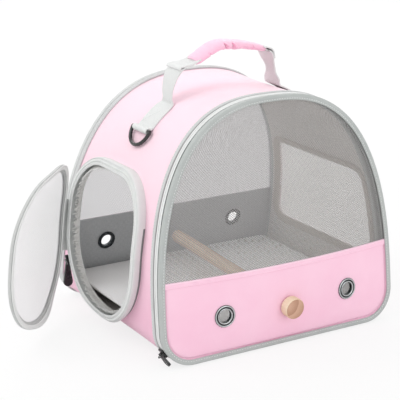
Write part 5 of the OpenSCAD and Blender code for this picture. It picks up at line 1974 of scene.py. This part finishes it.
    def fold(self) -> None:
        """The doubled webbing at each end of the grip."""
        gx, gz, _, _ = self.grip_line(np.linspace(-1.03, 1.03, 90))
        core = self.ribbon("handle_inner_webbing", np.stack([gx, gz], 1), np.full(90, 22.0), self.wall)
        settle(core, Body.HANDLE, STRAP, "handle_webbing")
        ends = {Side.LEFT: [(-43.0, 319.4), (-49.0, 316.4), (-56.0, 314.6), (-64.0, 314.0), (-70.6, 313.2),
                            (-72.8, 311.6), (-71.5, 310.2), (-68.0, 310.0)],
                Side.RIGHT: [(44.0, 325.6), (49.0, 325.0), (53.0, 323.4), (55.6, 320.4), (56.6, 316.5),
                             (57.6, 311.5)]}
        for side, key in ends.items():
            line = relaxed(np.array(key), 6, count=64)
            width = 28.0 + 3.5 * ease(np.linspace(0, 1, 64), 0.15, 0.5)
            piece = self.ribbon(f"handle_{side.name.lower()}_fold", line, width, self.wall)
            settle(piece, Body.HANDLE, STRAP)

    def build(self) -> None:
        """Makes straps, grip and folds; the rings keep their turned shape."""
        self.straps()
        self.fold()
        self.grip()


@dataclass
class ZipHardware:
    """Sliders and pulls in black enamel."""

    length: float = 12.0
    width: float = 7.0
    height: float = 2.6
    bar: float = 4.6
    pull_wall: float = 3.0

    def door_frame(self) -> Matrix:
        """Frame of the door's slider."""
        return (Matrix.Translation((-168.6, 0, 103)) @ turned(-24, 0, 0)
                @ Matrix.Translation((0, 86.6, 0)) @ turned(0, -90, -90))

    def front_frame(self) -> Matrix:
        """Frame of the front panel's slider."""
        lean = math.degrees(math.atan(ARCH.front_lean))
        return (Matrix.Translation((-120, float(ARCH.front(40.0)) + 9.75, 40)) @ turned(-lean, 0, 0)
                @ turned(0, -35, 0) @ Matrix.Translation((-38.2 - 1.0, 0, 0)) @ turned(0, -90, 0))

    def slider(self, name: str, frame: Matrix) -> bpy.types.Object:
        """A slider: two waisted plates, a wedge between them and a bridge for the pull."""
        clear_bench()
        bpy.ops.mesh.primitive_cube_add(size=1.0, location=(0, 0, self.height / 2))
        body = bpy.context.object
        body.scale = (self.length, self.width, self.height)
        bpy.ops.object.transform_apply(location=True, rotation=True, scale=True)
        edit(body, lambda: bpy.ops.mesh.subdivide(number_cuts=4))
        for v in body.data.vertices:
            share = v.co.x / self.length + 0.5
            waist = 1.0 - 0.2 * ease(np.array(1 - share), 0.15, 0.9)
            v.co.y *= float(waist)
            v.co.z += 0.15 * math.cos(math.pi * v.co.y / self.width) * (1 if v.co.z > 1 else 0)
        bevelled(body, 0.45)
        posts = []
        for side in (-1, 1):
            bpy.ops.mesh.primitive_cube_add(size=1.0, location=(0, side * (self.width / 2 - 0.55), 3.0))
            post = bpy.context.object
            post.scale = (3.2, 1.1, 5.6)
            bpy.ops.object.transform_apply(location=True, rotation=True, scale=True)
            posts.append(bevelled(post, 0.42))
        bpy.ops.mesh.primitive_cylinder_add(vertices=20, radius=0.9, depth=self.width - 1.1,
                                            location=(0, 0, self.bar), rotation=(math.pi / 2, 0, 0))
        pin = bpy.context.object
        bpy.ops.object.transform_apply(location=True, rotation=True, scale=True)
        return smooth(place(joined(name, body, [*posts, pin]), frame), 35)

    def pull(self, name: str, frame: Matrix, length: float, end: float) -> bpy.types.Object:
        """A drop-shaped pull with an eye at the bar and a pressed recess."""
        radius = end / 2
        outline = [(1.9, 0.9), (1.9, -0.9), (-0.6, -1.9)]
        outline += [(radius - length + radius * math.cos(math.radians(a)), radius * math.sin(math.radians(a)))
                    for a in range(290, 69, -11)]
        outline += [(-0.6, 1.9)]
        clear_bench()
        bpy.ops.mesh.primitive_circle_add(vertices=len(outline), radius=1.0, fill_type="NGON")
        obj = bpy.context.object
        for v, (x, y) in zip(obj.data.vertices, outline):
            v.co = Vector((x, y, -self.pull_wall / 2))
        edit(obj, lambda: bpy.ops.mesh.normals_make_consistent(inside=False))
        mesh = bmesh.new()
        mesh.from_mesh(obj.data)
        grown = bmesh.ops.extrude_face_region(mesh, geom=mesh.faces[:])
        lifted = [g for g in grown["geom"] if isinstance(g, bmesh.types.BMVert)]
        bmesh.ops.translate(mesh, verts=lifted, vec=(0, 0, self.pull_wall))
        bmesh.ops.recalc_face_normals(mesh, faces=mesh.faces)
        flats = [f for f in mesh.faces if abs(f.normal.z) > 0.9 and len(f.verts) > 6]
        for f in flats:
            bmesh.ops.inset_region(mesh, faces=[f], thickness=1.15, depth=0.0)
            bmesh.ops.inset_region(mesh, faces=[f], thickness=0.3, depth=-0.35)
        mesh.to_mesh(obj.data)
        mesh.free()
        bevelled(obj, 0.6, 40)
        bpy.ops.mesh.primitive_torus_add(major_radius=1.6, minor_radius=0.42, major_segments=28,
                                         minor_segments=10, rotation=(math.pi / 2, 0, 0))
        eye = bpy.context.object
        eye.scale = (1, 2.2, 1)
        bpy.ops.object.transform_apply(location=True, rotation=True, scale=True)
        return smooth(place(joined(name, obj, [eye]), frame), 35)

    def build(self) -> None:
        """Makes both sliders and both pulls."""
        door, front = self.door_frame(), self.front_frame()
        bar = Matrix.Translation((0, 0, self.bar))
        settle(self.slider("door_zip_slider", door), Body.DOOR_SLIDER, BLACK, "door_slider")
        settle(self.slider("front_zip_slider", front), Body.FRONT_SLIDER, BLACK, "front_slider")
        settle(self.pull("door_zip_pull", door @ bar @ turned(0, 24, 0), 34.0, 12.0), Body.DOOR_PULL, BLACK,
               "door_pull")
        settle(self.pull("front_zip_pull", front @ bar, 17.0, 9.0), Body.FRONT_PULL, BLACK, "front_pull")


@dataclass
class KeptNodes:
    """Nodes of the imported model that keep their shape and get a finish."""

    finishes: dict[str, Finish] = field(default_factory=lambda: {
        "base_board": WHITE_BOARD, "front_hoop": WIRE, "back_hoop": WIRE, "perch_bolt": PLAIN_STEEL,
        "perch_washer": PLAIN_STEEL, "knob_insert": PLAIN_STEEL, "d_ring_left": BLACK,
        "d_ring_right": BLACK})

    def build(self, nodes: dict[str, bpy.types.Object]) -> None:
        """Dresses each kept node."""
        for name, finish in self.finishes.items():
            dress(nodes[name], finish)
            LOG.info("%s keeps its shape, dressed in %s", name, finish.name)


@dataclass
class Studio:
    """Plain floor, soft light and the camera at the photograph's angle."""

    eye: tuple[float, float, float] = (-0.82469, -1.32729, 0.61460)
    azimuth: float = -30.924
    elevation: float = 16.973
    lens: float = 120.75
    sky: float = 0.80
    key: float = 21.0
    fill: float = 17.5
    sheen: float = 21.0

    def camera(self) -> None:
        """Sets the camera."""
        data = bpy.data.cameras.new("view")
        data.lens = self.lens
        data.sensor_width = 36.0
        camera = bpy.data.objects.new("view", data)
        bpy.context.scene.collection.objects.link(camera)
        a, e = math.radians(self.azimuth), math.radians(self.elevation)
        back = Vector((math.sin(a) * math.cos(e), -math.cos(a) * math.cos(e), math.sin(e)))
        camera.location = self.eye
        camera.rotation_euler = (-back).to_track_quat("-Z", "Y").to_euler()
        bpy.context.scene.camera = camera

    def lamp(self, name: str, spot: Sequence[float], size: float, power: float) -> None:
        """One square lamp that looks at the carrier."""
        data = bpy.data.lights.new(name, "AREA")
        data.size = size
        data.energy = power
        lamp = bpy.data.objects.new(name, data)
        lamp.location = spot
        aim = Vector((0, 0, 0.14)) - Vector(spot)
        lamp.rotation_euler = aim.to_track_quat("-Z", "Y").to_euler()
        bpy.context.scene.collection.objects.link(lamp)

    def world(self) -> None:
        """Even sky light, seen as white."""
        world = bpy.data.worlds.new("studio")
        bpy.context.scene.world = world
        world.use_nodes = True
        tree = world.node_tree
        tree.nodes.clear()
        output = tree.nodes.new("ShaderNodeOutputWorld")
        mix = tree.nodes.new("ShaderNodeMixShader")
        path = tree.nodes.new("ShaderNodeLightPath")
        light = tree.nodes.new("ShaderNodeBackground")
        light.inputs["Color"].default_value = (1.0, 0.99, 0.985, 1)
        light.inputs["Strength"].default_value = self.sky
        seen = tree.nodes.new("ShaderNodeBackground")
        seen.inputs["Color"].default_value = (1, 1, 1, 1)
        seen.inputs["Strength"].default_value = 1.0
        tree.links.new(path.outputs["Is Camera Ray"], mix.inputs[0])
        tree.links.new(light.outputs[0], mix.inputs[1])
        tree.links.new(seen.outputs[0], mix.inputs[2])
        tree.links.new(mix.outputs[0], output.inputs["Surface"])

    def floor(self) -> None:
        """A wide pale floor that keeps a soft shadow."""
        clear_bench()
        bpy.ops.mesh.primitive_plane_add(size=14.0, location=(0, 0, -0.0004))
        floor = bpy.context.object
        floor.name = "studio_floor"
        material = bpy.data.materials.new("studio_floor_paint")
        material.use_nodes = True
        tree = material.node_tree
        tree.nodes.clear()
        output = tree.nodes.new("ShaderNodeOutputMaterial")
        paint = tree.nodes.new("ShaderNodeBsdfDiffuse")
        paint.inputs["Color"].default_value = (0.86, 0.86, 0.86, 1)
        glow = tree.nodes.new("ShaderNodeEmission")
        glow.inputs["Color"].default_value = (1, 1, 1, 1)
        mix = tree.nodes.new("ShaderNodeMixShader")
        path = tree.nodes.new("ShaderNodeLightPath")
        share = tree.nodes.new("ShaderNodeMath")
        share.operation = "MULTIPLY"
        share.inputs[1].default_value = 0.8
        tree.links.new(path.outputs["Is Camera Ray"], share.inputs[0])
        tree.links.new(share.outputs[0], mix.inputs[0])
        tree.links.new(paint.outputs[0], mix.inputs[1])
        tree.links.new(glow.outputs[0], mix.inputs[2])
        tree.links.new(mix.outputs[0], output.inputs["Surface"])
        floor.data.materials.append(material)

    def build(self) -> None:
        """Sets camera, light, floor and colour handling."""
        self.camera()
        self.world()
        self.floor()
        self.lamp("key", (-1.7, 0.5, 2.0), 1.6, self.key)
        self.lamp("fill", (0.3, -2.6, 1.2), 2.2, self.fill)
        self.lamp("sheen", (0.9, 2.0, 1.5), 2.0, self.sheen)
        bpy.context.scene.view_settings.view_transform = "Standard"


def main() -> None:
    """Builds every sub-assembly in order and reports each piece."""
    logging.basicConfig(level=logging.INFO, format="%(name)s: %(message)s")
    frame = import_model()
    Studio().build()
    Shell().build()
    Rims().build()
    FrontPanel().build()
    BackPanel().build()
    SideDoor().build()
    SideWindow().build()
    FloorBoard().build()
    Perch().build()
    Carry().build()
    ZipHardware().build()
    KeptNodes().build(frame["nodes"])


if __name__ == "__main__":
    main()
